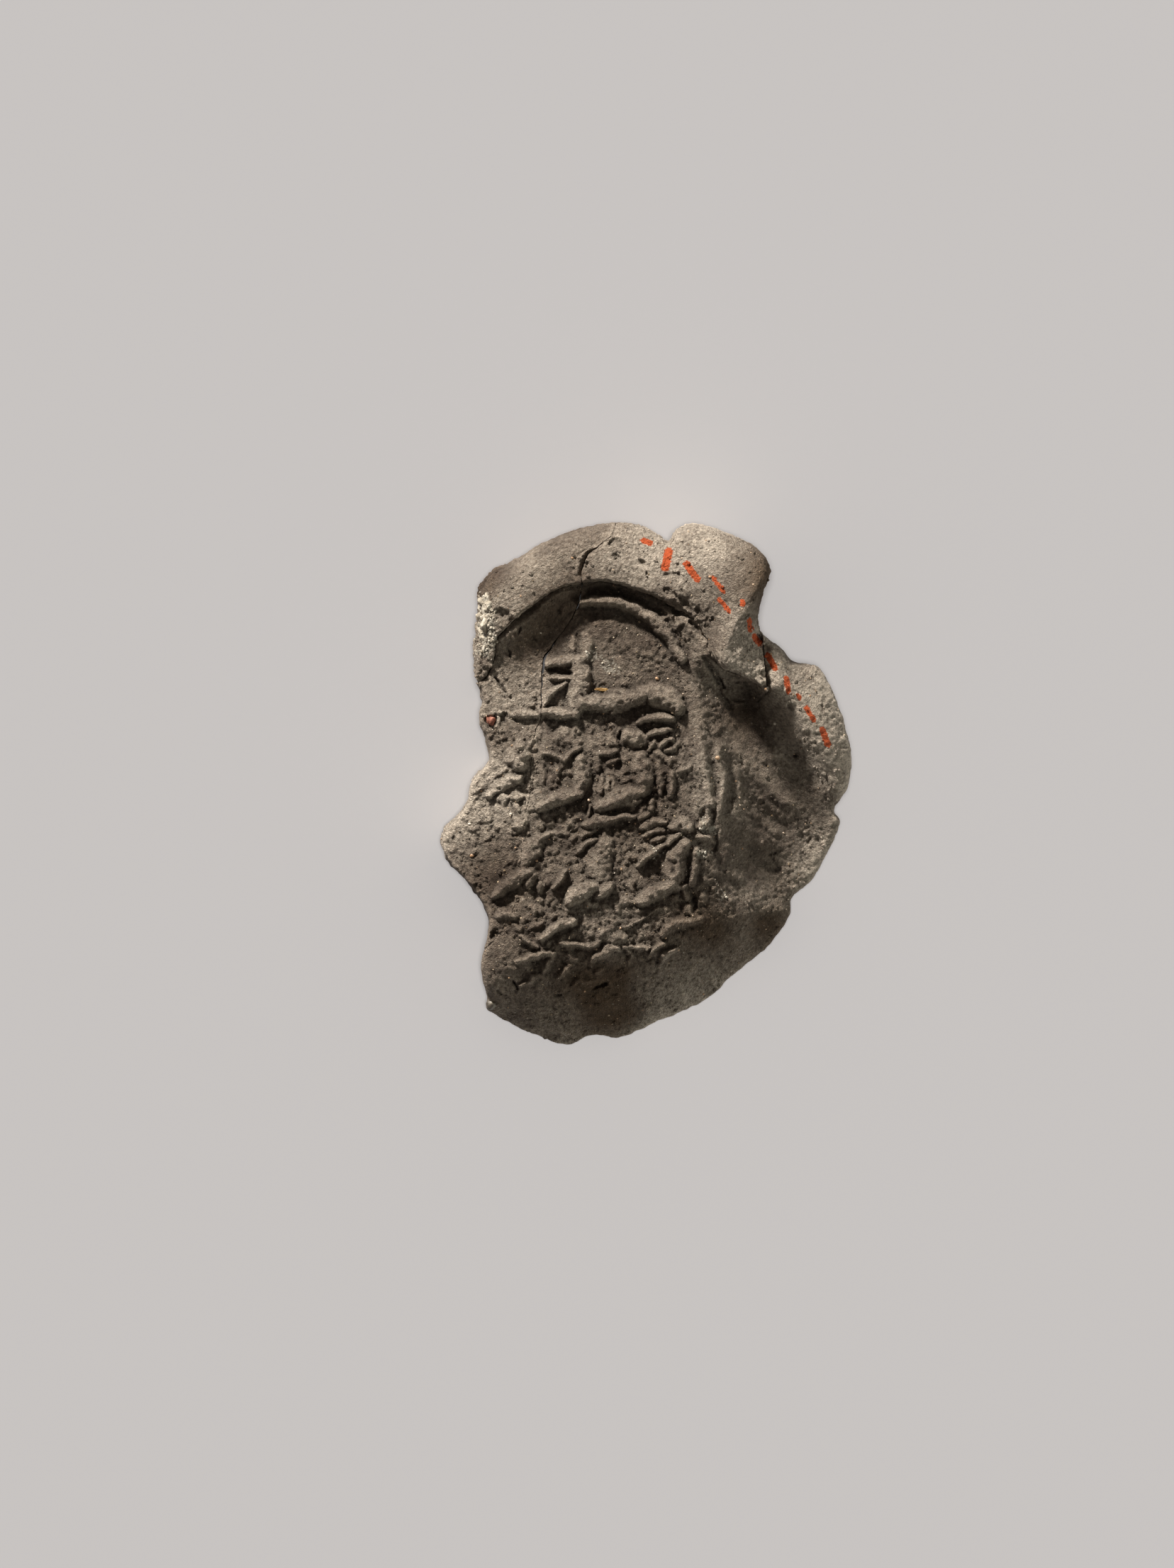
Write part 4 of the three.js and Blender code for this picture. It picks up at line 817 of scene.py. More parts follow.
def makeMesh(name, points, faces):
    mesh = bpy.data.meshes.new(name)
    mesh.from_pydata((points * mm).tolist(), [], faces)
    mesh.validate()
    mesh.shade_smooth()
    return makeObject(name, mesh)


def meshPoints(piece):
    points = np.empty(len(piece.data.vertices) * 3)
    piece.data.vertices.foreach_get("co", points)
    return points.reshape(-1, 3) / mm


def addField(piece, name, values):
    piece.data.attributes.new(name, "FLOAT", "POINT").data.foreach_set("value", values)
    return piece


def addClayTone(piece, figure=0.0):
    # Dust with some painted highlight, height above the surroundings, which the material turns into painted
    # shade and highlight, and painted shade as one colour, then where paint, sand and lime are
    mesh = piece.data
    mesh.calc_loop_triangles()
    triangles = np.empty(len(mesh.loop_triangles) * 3, int)
    mesh.loop_triangles.foreach_get("vertices", triangles)
    points = meshPoints(piece)
    x, y = points[:, 0], points[:, 1]
    stands, normals = standing(points, triangles.reshape(-1, 3), clayTone["smoothing"])
    finishAndShade = finishAndShadeAt(x, y)
    tone = np.column_stack([finishAndShade[:, 1] + clayTone["figureDustAndHighlight"] * figure,
                            np.clip(0.5 + stands * clayTone["standing"], 0, 1), finishAndShade[:, 2],
                            np.ones(len(points))])
    mesh.attributes.new("clayTone", "FLOAT_COLOR", "POINT").data.foreach_set("color", tone.ravel())
    gathered = np.clip(clayTone["sandLevel"] - stands * clayTone["sandByHollow"], *clayTone["sandLimits"])
    sandy = keeping(clayTone["sandKept"], finishAndShade[:, 0]) * gathered * (1 - clayTone["figureLoss"] * figure)
    fromCrack = polygonDistance(x, y, leftGround)[0] / clayTone["crackReach"]
    fade = np.exp(-fromCrack ** 2) * easeStep(-y, *clayTone["crackFrom"])
    sandy = sandy + clayTone["crackSand"] * fade
    fromFold = np.sqrt(lineReach(x, y, footRail[-1, :2], outerRail[-1, :2])[0]) / clayTone["foldReach"]
    sandy = sandy + clayTone["foldSand"] * np.exp(-fromFold ** 2)
    up = easeStep(normals[:, 2], *clayTone["facingUp"])
    addField(piece, "paintDistance", np.where(up > 0, paintDistance(x, y), paintReach))
    addField(piece, "sandy", sandy * up)
    return addField(piece, "limy", limeAt(points) * up)


# Pieces of clay with a face, walls and a back over one region of the plan

# The grid's margin round the piece in mm, and the share of a step within which a corner moves to the edge
gridding = {"margin": 1, "snap": 0.3}


def gridOver(x0, x1, y0, y1, step):
    return np.meshgrid(np.arange(x0, x1, step), np.arange(y0, y1, step))


def clipGrid(region, spacing):
    # Triangles of a square grid, clipped where the region's signed distance crosses zero
    halfX = sealing["width"] / 2 + gridding["margin"]
    halfY = sealing["length"] / 2 + gridding["margin"]
    gridX, gridY = gridOver(-halfX, halfX, -halfY, halfY, spacing)
    rows, columns = gridX.shape
    distance = region(gridX.ravel(), gridY.ravel()).reshape(rows, columns)
    slopeY, slopeX = np.gradient(distance, spacing)
    close = np.abs(distance) < gridding["snap"] * spacing
    places = np.column_stack([np.where(close, gridX - distance * slopeX, gridX).ravel(),
                              np.where(close, gridY - distance * slopeY, gridY).ravel()])
    distance = np.where(close, 0, distance).ravel()
    i, j = np.meshgrid(np.arange(columns - 1), np.arange(rows - 1))
    a = (j * columns + i).ravel()
    b, c, d = a + 1, a + 1 + columns, a + columns
    even = ((i + j) % 2 == 0).ravel()
    triangles = np.vstack([np.column_stack([a, b, c])[even], np.column_stack([a, c, d])[even],
                           np.column_stack([a, b, d])[~even], np.column_stack([b, c, d])[~even]])
    inside = distance[triangles] <= 0
    count = inside.sum(axis=1)

    def turned(chosen, odd):
        # Each triangle turned so that its odd corner comes first
        return np.take_along_axis(chosen, (np.argmax(odd, axis=1)[:, None] + np.arange(3)) % 3, axis=1)

    one = turned(triangles[count == 1], inside[count == 1])
    two = turned(triangles[count == 2], ~inside[count == 2])
    edges = np.vstack([one[:, [0, 1]], one[:, [0, 2]], two[:, [0, 1]], two[:, [0, 2]]])
    unique, back = np.unique(np.sort(edges, axis=1), axis=0, return_inverse=True)
    start, end = unique[:, 0], unique[:, 1]
    fromStart, fromEnd = distance[start], distance[end]
    level = fromStart == fromEnd
    t = np.where(level, 0, fromStart / np.where(level, 1, fromStart - fromEnd))[:, None]
    cuts = places[start] * (1 - t) + places[end] * t
    fresh = len(places) + np.arange(len(unique))
    cut = np.where(fromStart == 0, start, np.where(fromEnd == 0, end, fresh))[back.ravel()]
    oneA, oneB, twoA, twoB = np.split(cut, np.cumsum([len(one), len(one), len(two)]))
    faces = np.vstack([triangles[count == 3], np.column_stack([one[:, 0], oneA, oneB]),
                       np.column_stack([twoA, two[:, 1], two[:, 2]]),
                       np.column_stack([twoA, two[:, 2], twoB])])
    real = (faces != np.roll(faces, -1, axis=1)).all(axis=1)
    used, faces = np.unique(faces[real], return_inverse=True)
    return np.vstack([places, cuts])[used], faces.reshape(-1, 3)


bodyShape = {
    "leastWall": 0.05, "backInset": 0.6,
    # Corners of the back that lie closer together than this, in mm, are one
    "weld": 1e-7,
    # The walls are rough only where they are broken, this far from a seam in mm
    "freeFrom": (0.3, 1.0),
    # Height, size and seed of the lumps that push the walls about
    "wallX": [(1, 1.7, 11), (0.5, 0.6, 12)], "wallY": [(1, 1.7, 13), (0.5, 0.6, 14)],
}


def clayBody(name, region, topAt, settings):
    plan, faces = clipGrid(region, settings["grid"])
    edges = boundaryEdges(faces)
    ring = np.unique(edges)
    slot = np.zeros(len(plan), int)
    slot[ring] = np.arange(len(ring))
    rows = settings["wallRows"]
    top = topAt(plan[:, 0], plan[:, 1])
    low = np.minimum(backHeight(*plan[ring].T), top[ring] - bodyShape["leastWall"])
    points = [np.column_stack([plan, top])]
    fromSeam = [np.abs(polygonDistance(*plan[ring].T, ground)[0]) for ground in (leftGround, upperGround)]
    free = easeStep(np.minimum(*fromSeam), *bodyShape["freeFrom"])
    for row in range(1, rows + 1):
        wall = np.column_stack([plan[ring], top[ring] + (low - top[ring]) * row / rows])
        push = free * math.sin(math.pi * row / (rows + 1)) * settings["wallRoughness"]
        wall[:, 0] += push * layered(wall, bodyShape["wallX"])
        wall[:, 1] += push * layered(wall, bodyShape["wallY"])
        points.append(wall)

    def wallId(vertex, row):
        return vertex if row == 0 else len(plan) + (row - 1) * len(ring) + slot[vertex]

    quads = [np.column_stack([wallId(edges[:, 1], row), wallId(edges[:, 0], row),
                              wallId(edges[:, 0], row + 1), wallId(edges[:, 1], row + 1)])
             for row in range(rows)]
    # The back, triangulated between the walls' lowest points and a coarser grid
    step = settings["backGrid"]
    x0, y0 = plan.min(axis=0)
    x1, y1 = plan.max(axis=0)
    gridX, gridY = (part.ravel() for part in gridOver(x0, x1, y0, y1, step))
    within = region(gridX, gridY) < -bodyShape["backInset"] * step
    spots = np.vstack([points[-1][:, :2], np.column_stack([gridX[within], gridY[within]])])
    bounds = [(int(slot[a]), int(slot[b])) for a, b in edges]
    # Output 1 leaves out the triangles outside the walls
    outSpots, _, outFaces, origin, _, _ = delaunay_2d_cdt(spots.tolist(), bounds, [], 1,
                                                          bodyShape["weld"])
    first = len(plan) + rows * len(ring)
    backIds, extra = [], []
    for spot, sources in zip(outSpots, origin):
        if sources and sources[0] < len(ring):
            backIds.append(int(wallId(ring[sources[0]], rows)))
        else:
            backIds.append(first + len(extra))
            extra.append(tuple(spot))
    extra = np.array(extra)
    points.append(np.column_stack([extra, backHeight(*extra.T)]))
    under = [[backIds[k] for k in reversed(face)] for face in outFaces]
    points = np.vstack(points)
    figure = np.zeros(len(points))
    figure[:len(plan)] = easeStep(reliefAt(*plan.T, faceMarks), *faceShape["looseToFigure"])
    piece = makeMesh(name, points, faces.tolist() + np.vstack(quads).tolist() + under)
    return addClayTone(piece, figure)


padSettings = {"grid": 0.115, "backGrid": 0.3, "wallRows": 18, "wallRoughness": 0.12}
leftSettings = {"grid": 0.105, "backGrid": 0.3, "wallRows": 40, "wallRoughness": 0.3}

sealPad = clayBody("clay_seal_pad", regionWithin(rightGround), padTop, padSettings)
leftFragment = clayBody("clay_left_fragment", regionWithin(leftGround), leftTop, leftSettings)
print("seal pad and left fragment", len(sealPad.data.polygons), len(leftFragment.data.polygons))


# The rim

rimShape = {
    "lip": 0.9, "footDepth": 0.5, "undercut": 4.5, "outerFullness": 3.0, "texture": 0.9,
    "facePoints": 92, "backPoints": 22, "wallPoints": 6, "leftSteps": 150, "rightSteps": 250,
    # The texture stops this far above the ground in mm, and marks lie only where the rim faces up
    "textureFrom": 0.02, "marksFacing": 0.3,
}
rimStations = np.linspace(0, 1, len(footRail))


def rimSurface(along, across, under):
    # Points of the rim: along it from 0 to 1, across it from foot to edge, on its face or its back
    def read(rail, column):
        return np.interp(along, rimStations, rail[:, column])

    foot = np.column_stack([read(footRail, 0), read(footRail, 1)])
    outer = np.column_stack([read(outerRail, 0), read(outerRail, 1)])
    crest = read(outerRail, 2) * sealing["height"]
    crestPlace = read(outerRail, 3)
    low = crest * read(outerRail, 4)
    fullness = np.maximum(read(outerRail, 5), 1)
    footHeight = sheetHeight(foot[:, 0], foot[:, 1]) - rimShape["footDepth"]
    width = np.linalg.norm(outer - foot, axis=1)
    plan = foot + (outer - foot) * across[:, None]
    inner = across < crestPlace
    start = np.where(inner, footHeight, low + rimShape["lip"])
    reach = np.where(inner, across / crestPlace, (1 - across) / (1 - crestPlace))
    face = start + (crest - start) * roundOver(reach, np.where(inner, fullness, rimShape["outerFullness"]))
    back = low * (1 - roundOver((1 - across) * width / rimShape["undercut"]))
    return np.column_stack([plan, np.where(under, back, face)])


def crackAlong(across, ground):
    # Where the crack crosses the rim, as a place along it, for each place across it
    result = []
    for share in across:
        line = footRail[:, :2] + (outerRail[:, :2] - footRail[:, :2]) * share
        distance, _ = polygonDistance(line[:, 0], line[:, 1], ground)
        crossing = np.nonzero(np.diff(np.sign(distance)))[0][0]
        t = distance[crossing] / (distance[crossing] - distance[crossing + 1])
        result.append(rimStations[crossing] + (rimStations[crossing + 1] - rimStations[crossing]) * t)
    return np.array(result)


def rimPiece(name, leftSide, steps):
    faceAcross = 0.5 - 0.5 * np.cos(np.linspace(0, math.pi, rimShape["facePoints"]))
    across = np.concatenate([faceAcross, np.linspace(1, 0, rimShape["backPoints"])])
    under = np.arange(len(across)) >= len(faceAcross)
    start = np.zeros(len(across)) if leftSide else crackAlong(across, rightGround)
    end = crackAlong(across, leftGround) if leftSide else np.ones(len(across))
    # Each section runs over the face, back underneath, and up the wall at the foot
    share = np.linspace(0, 1, rimShape["wallPoints"] + 2)[1:-1, None]
    sections = [rimSurface(start + (end - start) * step / steps, across, under) for step in range(steps + 1)]
    grid = np.array([np.vstack([one, one[-1] + (one[0] - one[-1]) * share]) for one in sections])
    size = grid.shape[1]
    normals = np.cross(np.gradient(grid, axis=0), np.roll(grid, -1, axis=1) - np.roll(grid, 1, axis=1))
    normals /= np.maximum(np.linalg.norm(normals, axis=2, keepdims=True), tiny)
    points, normals = grid.reshape(-1, 3), normals.reshape(-1, 3)
    # They point out of the clay, so upwards in the middle of the face
    if normals[size * (steps // 2) + len(faceAcross) // 2, 2] < 0:
        normals = -normals
    push = clayTexture(points, finishAndShadeAt(points[:, 0], points[:, 1])[:, 0]) * rimShape["texture"]
    push = np.where(points[:, 2] > rimShape["textureFrom"], push, 0)
    points = points + normals * push[:, None]
    marks = reliefAt(points[:, 0], points[:, 1], ["rim hollows"])
    marks = np.where(normals[:, 2] > rimShape["marksFacing"], marks, 0)
    points[:, 2] = np.maximum(points[:, 2] + marks, 0)
    index = np.arange(size)
    following = (index + 1) % size
    faces = [np.column_stack([a + following, a + index, a + size + index, a + size + following])
             for a in range(0, steps * size, size)]
    faces = np.vstack(faces).tolist()
    # Both ends are closed by a fan round their middle
    last = steps * size
    points = np.vstack([points, points[:size].mean(axis=0), points[last:last + size].mean(axis=0)])
    faces += [[len(points) - 2, int(i), int(j)] for i, j in zip(index, following)]
    faces += [[len(points) - 1, int(last + j), int(last + i)] for i, j in zip(index, following)]
    return addClayTone(makeMesh(name, points, faces))


rimLeft = rimPiece("clay_rim_left", True, rimShape["leftSteps"])
rimRight = rimPiece("clay_rim_right", False, rimShape["rightSteps"])
print("rim", len(rimLeft.data.polygons), len(rimRight.data.polygons))


# Materials

def linear(hexColour):
    channels = [int(hexColour[k:k + 2], 16) / 255 for k in (1, 3, 5)]
    return tuple(c / 12.92 if c <= 0.04045 else ((c + 0.055) / 1.055) ** 2.4 for c in channels) + (1.0,)


def addNode(tree, kind, inputs=(), **settings):
    # Inputs are given by name or number, or in the order of the node's sockets
    node = tree.nodes.new(kind)
    for key, value in settings.items():
        setattr(node, key, value)
    for key, value in inputs.items() if isinstance(inputs, dict) else enumerate(inputs):
        if isinstance(value, bpy.types.NodeSocket):
            tree.links.new(value, node.inputs[key])
        else:
            node.inputs[key].default_value = value
    return node


def newMaterial(name):
    material = bpy.data.materials.new(name)
    material.use_nodes = True
    material.node_tree.nodes.clear()
    return material, material.node_tree


def perMm(size):
    return 1 / (size * mm)


# The dark brown after the two mud colours is painted shade for places that lie in shadow, and the pale dust
# colour also serves as painted highlight
clayColours = {
    "mudDark": "#55473D", "mudLight": "#726457", "paintedShade": "#604D38", "dustAndHighlight": "#CBBFB0",
    "quartz": "#C8C0B2", "grit": "#2A241F", "lime": "#C1BBAE", "paint": "#CF6239",
}
clayPatterns = {
    # Size in mm of each noise pattern, and what else its node is given
    "cloud": (2.2, {"Detail": 5.0}), "speckle": (0.24, {"Detail": 4.0}),
    "mottle": (0.4, {"Detail": 6.0, "Roughness": 0.65}), "fleck": (0.2, {"Detail": 3.0, "Distortion": 0.6}),
    "tooth": (0.14, {"Detail": 6.0, "Roughness": 0.7}),
}
clayLook = {
    # How much painted shade darkens hollows and painted highlight with some wear brightens standing edges,
    # and how deep the mottling is
    "hollowShade": 0.62, "edgeShade": 1.3, "standsSpan": (0.2, 0.8), "mottleDepth": 0.35,
    # Where the fleck pattern turns to pale quartz and to dark grit, over what span, and how strongly
    "paleFrom": 0.69, "darkBelow": 0.27, "fleckSpan": 0.04, "fleckStrength": 0.8,
    # The values of a pattern between which the mud changes colour and the mottling its shade
    "mudByCloud": (0.35, 0.65), "mottleSpan": (0.3, 0.7),
    # The values of a pattern, and the amounts between which they break up the dust and its painted highlight
    "dustAndHighlightBySpeckle": (0.32, 0.68, 0.45, 1.5), "dustAndHighlightByCloud": (0.3, 0.7, 0.65, 1.25),
    # The same for the ragged edges of lime and of paint, and where each of them covers the clay
    "limeRagged": (0.35, 0.65, -0.35, 0.35), "limeCover": (0.35, 0.9, 0, 0.85),
    "paintRagged": (0.3, 0.7, -0.07, 0.07), "paintCover": (0.04, -0.04),
    "roughness": 0.92, "grainRoughness": 0.45, "specular": 0.25, "bump": 1.0, "bumpHeight": 0.6,
}


def clayMaterial(name, colours, look):
    material, tree = newMaterial(name)
    place = addNode(tree, "ShaderNodeTexCoord").outputs["Object"]
    noise = {}
    for kind, (size, more) in clayPatterns.items():
        inputs = {"Vector": place, "Scale": perMm(size), **more}
        noise[kind] = addNode(tree, "ShaderNodeTexNoise", inputs).outputs[0]
    fields = {}
    for field, output in (("clayTone", "Color"), ("limy", "Fac"), ("paintDistance", "Fac")):
        fields[field] = addNode(tree, "ShaderNodeAttribute", attribute_name=field).outputs[output]
    dustAndHighlight, stands, paintedShade = addNode(tree, "ShaderNodeSeparateColor", [fields["clayTone"]]).outputs[:3]
    # The mud's own colour, cloudy, and darkened by painted shade where the clay lies in shadow. Of a Mix
    # node, inputs 6 and 7 are the colours and output 2 is the result.
    cloudy = addNode(tree, "ShaderNodeMapRange", [noise["cloud"], *look["mudByCloud"]]).outputs[0]
    coat = addNode(tree, "ShaderNodeMix", {0: cloudy, 6: linear(colours["mudDark"]),
                                           7: linear(colours["mudLight"])}, data_type="RGBA").outputs[2]
    coat = addNode(tree, "ShaderNodeMix", {0: paintedShade, 6: coat, 7: linear(colours["paintedShade"])},
                   data_type="RGBA").outputs[2]
    # Dust lies over it, partly painted highlight where faces turn to the light, broken up by the speckle and
    # the clouds
    layer = dustAndHighlight
    for kind, ranges in (("speckle", "dustAndHighlightBySpeckle"), ("cloud", "dustAndHighlightByCloud")):
        broken = addNode(tree, "ShaderNodeMapRange", [noise[kind], *look[ranges]]).outputs[0]
        layer = addNode(tree, "ShaderNodeMath", [layer, broken], operation="MULTIPLY").outputs[0]
    coat = addNode(tree, "ShaderNodeMix", {0: layer, 6: coat, 7: linear(colours["dustAndHighlight"])},
                   data_type="RGBA").outputs[2]
    # Painted shade darkens the hollows, and painted highlight with some wear makes the standing edges paler
    shadeAndWear = addNode(tree, "ShaderNodeMapRange", [stands, *look["standsSpan"], look["hollowShade"],
                                                look["edgeShade"]]).outputs[0]
    depth = look["mottleDepth"]
    mottled = addNode(tree, "ShaderNodeMapRange", [noise["mottle"], *look["mottleSpan"], 1 - depth,
                                                   1 + depth]).outputs[0]
    shade = addNode(tree, "ShaderNodeMath", [shadeAndWear, mottled], operation="MULTIPLY").outputs[0]
    coat = addNode(tree, "ShaderNodeVectorMath", {0: coat, 3: shade}, operation="SCALE").outputs[0]
    # Pale quartz, which shines a little, and dark grit among the sand
    flecks = {}
    for colour, start, span in (("quartz", look["paleFrom"], look["fleckSpan"]),
                                ("grit", look["darkBelow"], -look["fleckSpan"])):
        flecks[colour] = addNode(tree, "ShaderNodeMapRange", [noise["fleck"], start, start + span, 0,
                                                              look["fleckStrength"]]).outputs[0]
        coat = addNode(tree, "ShaderNodeMix", {0: flecks[colour], 6: coat, 7: linear(colours[colour])},
                       data_type="RGBA").outputs[2]
    gloss = addNode(tree, "ShaderNodeMapRange", {0: flecks["quartz"], 3: look["roughness"],
                                                 4: look["grainRoughness"]}).outputs[0]
    # A film of lime, and thin orange paint worn off the highest specks, both with ragged edges
    for colour, field in (("lime", "limy"), ("paint", "paintDistance")):
        ragged = addNode(tree, "ShaderNodeMapRange", [noise["speckle"], *look[colour + "Ragged"]]).outputs[0]
        edge = addNode(tree, "ShaderNodeMath", [fields[field], ragged], operation="ADD").outputs[0]
        cover = addNode(tree, "ShaderNodeMapRange", [edge, *look[colour + "Cover"]]).outputs[0]
        coat = addNode(tree, "ShaderNodeMix", {0: cover, 6: coat, 7: linear(colours[colour])},
                       data_type="RGBA").outputs[2]
    # Fine tooth of the dried mud
    height = addNode(tree, "ShaderNodeMath", [noise["tooth"], noise["fleck"]], operation="ADD").outputs[0]
    bump = addNode(tree, "ShaderNodeBump", {"Strength": look["bump"], "Distance": look["bumpHeight"] * mm,
                                            "Height": height}).outputs[0]
    shader = addNode(tree, "ShaderNodeBsdfPrincipled",
                     {"Base Color": coat, "Roughness": gloss, "Normal": bump,
                      "Specular IOR Level": look["specular"]})
    addNode(tree, "ShaderNodeOutputMaterial", {"Surface": shader.outputs[0]})
    return material


def settle(piece, material=None, node=None):
    # Every piece rides the one body, and one that stands for a solid replaces its node
    if material:
        piece.data.materials.append(material)
    if node:
        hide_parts(node)
    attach(piece, "root")
    print(piece.name, len(piece.data.polygons))


# Sun-dried Nile mud, pressed by a seal: grey-brown and gritty, with painted shade in its hollows
greyClay = clayMaterial("dried_nile_mud", clayColours, clayLook)
# The same mud squeezed up round the seal: paler and more even under its dust, with open pores
paleClay = clayMaterial("dusty_nile_mud", clayColours,
                        dict(clayLook, edgeShade=1.2, mottleDepth=0.26, darkBelow=0.29, bumpHeight=0.4))
clayPieces = [sealPad, leftFragment, rimLeft, rimRight]
settle(sealPad, greyClay, "seal_pad")
settle(leftFragment, greyClay, "left_fragment")
settle(rimLeft, paleClay, "rim_roll_left")
settle(rimRight, paleClay, "rim_roll_right")


# Small things caught in the clay

grainCloud = {"detail": 4.0, "span": (0.3, 0.7)}


def grainMaterial(name, colours, look):
    # Each grain's own tint picks its colour, and a fine cloudiness breaks it up
    material, tree = newMaterial(name)
    place = addNode(tree, "ShaderNodeTexCoord").outputs["Object"]
    tint = addNode(tree, "ShaderNodeAttribute", attribute_name="tint").outputs["Fac"]
    cloud = addNode(tree, "ShaderNodeTexNoise", {"Vector": place, "Scale": perMm(look["cloud"]),
                                                 "Detail": grainCloud["detail"]}).outputs[0]
    spread = addNode(tree, "ShaderNodeMapRange", [cloud, *grainCloud["span"], -look["spread"],
                                                  look["spread"]])
    chosen = addNode(tree, "ShaderNodeMath", [tint, spread.outputs[0]], operation="ADD", use_clamp=True)
    ramp = addNode(tree, "ShaderNodeValToRGB", [chosen.outputs[0]])
    stops = ramp.color_ramp.elements
    stops.remove(stops[1])
    stops[0].color = linear(colours[0])
    for index, colour in enumerate(colours[1:], 1):
        stops.new(index / (len(colours) - 1)).color = linear(colour)
    bump = addNode(tree, "ShaderNodeBump", {"Strength": 1.0, "Distance": look["bumpHeight"] * mm,
                                            "Height": cloud})
    shader = addNode(tree, "ShaderNodeBsdfPrincipled",
                     {"Base Color": ramp.outputs[0], "Roughness": look["roughness"],
                      "Normal": bump.outputs[0], "Specular IOR Level": look["specular"]})
    addNode(tree, "ShaderNodeOutputMaterial", {"Surface": shader.outputs[0]})
    return material


# Chalky white, matt and powdery
limePlaster = grainMaterial("lime_plaster", ("#80776A", "#A59D8F", "#C6C0B4"), {
    "cloud": 0.35, "spread": 0.35, "bumpHeight": 0.12, "roughness": 0.95, "specular": 0.2})
# Crushed brick red, dull, with paler faces
redGrit = grainMaterial("crushed_red_pot", ("#5A382E", "#8A5646", "#A8796A"), {
    "cloud": 0.25, "spread": 0.4, "bumpHeight": 0.08, "roughness": 0.8, "specular": 0.3})
# Milky quartz dulled by mud, rounded by water, with a soft shine
milkyQuartz = grainMaterial("milky_quartz", ("#3F3A33", "#57514A", "#777064"), {
    "cloud": 0.4, "spread": 0.3, "bumpHeight": 0.03, "roughness": 0.5, "specular": 0.35})
# River sand: buff, cream, ochre and near white, each grain with a glint
riverSand = grainMaterial("river_sand", ("#655747", "#938067", "#BCAF9A", "#A98361", "#CFC8BA"), {
    "cloud": 0.2, "spread": 0.1, "bumpHeight": 0.02, "roughness": 0.4, "specular": 0.5})
# Dark heavy grains, nearly black
darkGrit = grainMaterial("dark_river_grit", ("#1E1A17", "#3A322B", "#4C3A30"), {
    "cloud": 0.2, "spread": 0.1, "bumpHeight": 0.02, "roughness": 0.5, "specular": 0.4})


def addTint(piece, values):
    return addField(piece, "tint", np.clip(values, 0, 1))


def solidCorners(node):
    return (np.array(corner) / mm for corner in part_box(node))


brokenShape = {
    # Height, size and seed, counted from the grain's own, of the lumps on it, for a radius of 1
    "lumps": [(1, 0.9, 0), (0.5, 0.4, 1)], "tint": (0.6, 0.7, 2), "leastFacing": 1e-3,
}


def brokenBall(seed, look):
    # A rounded lump with flat breaks, reaching from -1 to 1 each way
    form = bmesh.new()
    bmesh.ops.create_icosphere(form, subdivisions=look["subdivisions"], radius=1.0)
    form.verts.index_update()
    ways = np.array([vert.co[:] for vert in form.verts])
    faces = np.array([[vert.index for vert in face.verts] for face in form.faces])
    form.free()
    source = np.random.RandomState(seed)
    reach = np.ones(len(ways))
    for _ in range(look["breaks"]):
        facing = source.normal(size=3)
        facing /= np.linalg.norm(facing)
        slant = np.maximum(ways @ facing, brokenShape["leastFacing"])
        reach = np.minimum(reach, source.uniform(*look["depth"]) / slant)
    uneven = layered(ways, [(height, size, seed + more) for height, size, more in brokenShape["lumps"]])
    points = ways * (reach * (1 + look["roughness"] * uneven))[:, None]
    return 2 * (points - points.min(axis=0)) / np.ptp(points, axis=0) - 1, faces, ways


def brokenGrain(name, node, seed, look):
    # A lump as large as the solid it stands for
    low, high = solidCorners(node)
    points, faces, ways = brokenBall(seed, look)
    piece = makeMesh(name, low + (points + 1) / 2 * (high - low), faces.tolist())
    height, size, more = brokenShape["tint"]
    return addTint(piece, layered(ways, [(height, size, seed + more)], 0.5))


redGrain = brokenGrain("red_grain_body", "red_grain", 7, {
    "subdivisions": 4, "breaks": 9, "depth": (0.6, 0.9), "roughness": 0.22})
pebble = brokenGrain("pebble_body", "edge_pebble", 12, {
    "subdivisions": 4, "breaks": 3, "depth": (0.75, 0.95), "roughness": 0.07})

# Coarser sand that stands out grain by grain: x, y and radius in mm, and tint
singleGrains = [
    (0.95, 8.86, 0.18, 0.72), (5.99, 2.14, 0.2, 0.72), (-14.76, -3.39, 0.15, 1.0), (-11.3, -2.5, 0.15, 1.0),
    (-14.6, -5.95, 0.22, 0.75), (2.2, 6.0, 0.12, 0.65), (-9.2, -6.4, 0.14, 0.7), (7.9, -1.1, 0.12, 0.9),
    (1.7, -12.9, 0.14, 0.7), (10.9, 5.1, 0.15, 1.0), (5.4, 17.3, 0.15, 0.7), (-6.1, 18.9, 0.14, 0.7),
]
coarseLook = {"subdivisions": 2, "breaks": 4, "depth": (0.65, 0.95), "roughness": 0.12,
              "proportions": (1, 0.85, 0.8), "firstSeed": 20, "faceDepth": 0.8}


def facePoints(piece):
    # The vertices on the face of a clay piece, without its walls and back
    points = meshPoints(piece)
    return points[points[:, 2] > sheetHeight(points[:, 0], points[:, 1]) - coarseLook["faceDepth"]]


def coarseSand():
    # The vertex of the clay that lies nearest to a grain's place carries the grain
    tops = np.vstack([facePoints(piece) for piece in clayPieces])
    points, faces, tints = [], [], []
    for index, (x, y, radius, tint) in enumerate(singleGrains):
        ball, corners, _ = brokenBall(coarseLook["firstSeed"] + index, coarseLook)
        spot = tops[np.hypot(tops[:, 0] - x, tops[:, 1] - y).argmin()]
        faces.append(corners + len(ball) * index)
        points.append(spot + ball * radius * np.array(coarseLook["proportions"]))
        tints.append(np.full(len(ball), tint))
    piece = makeMesh("coarse_sand", np.vstack(points), np.vstack(faces).tolist())
    return addTint(piece, np.concatenate(tints))


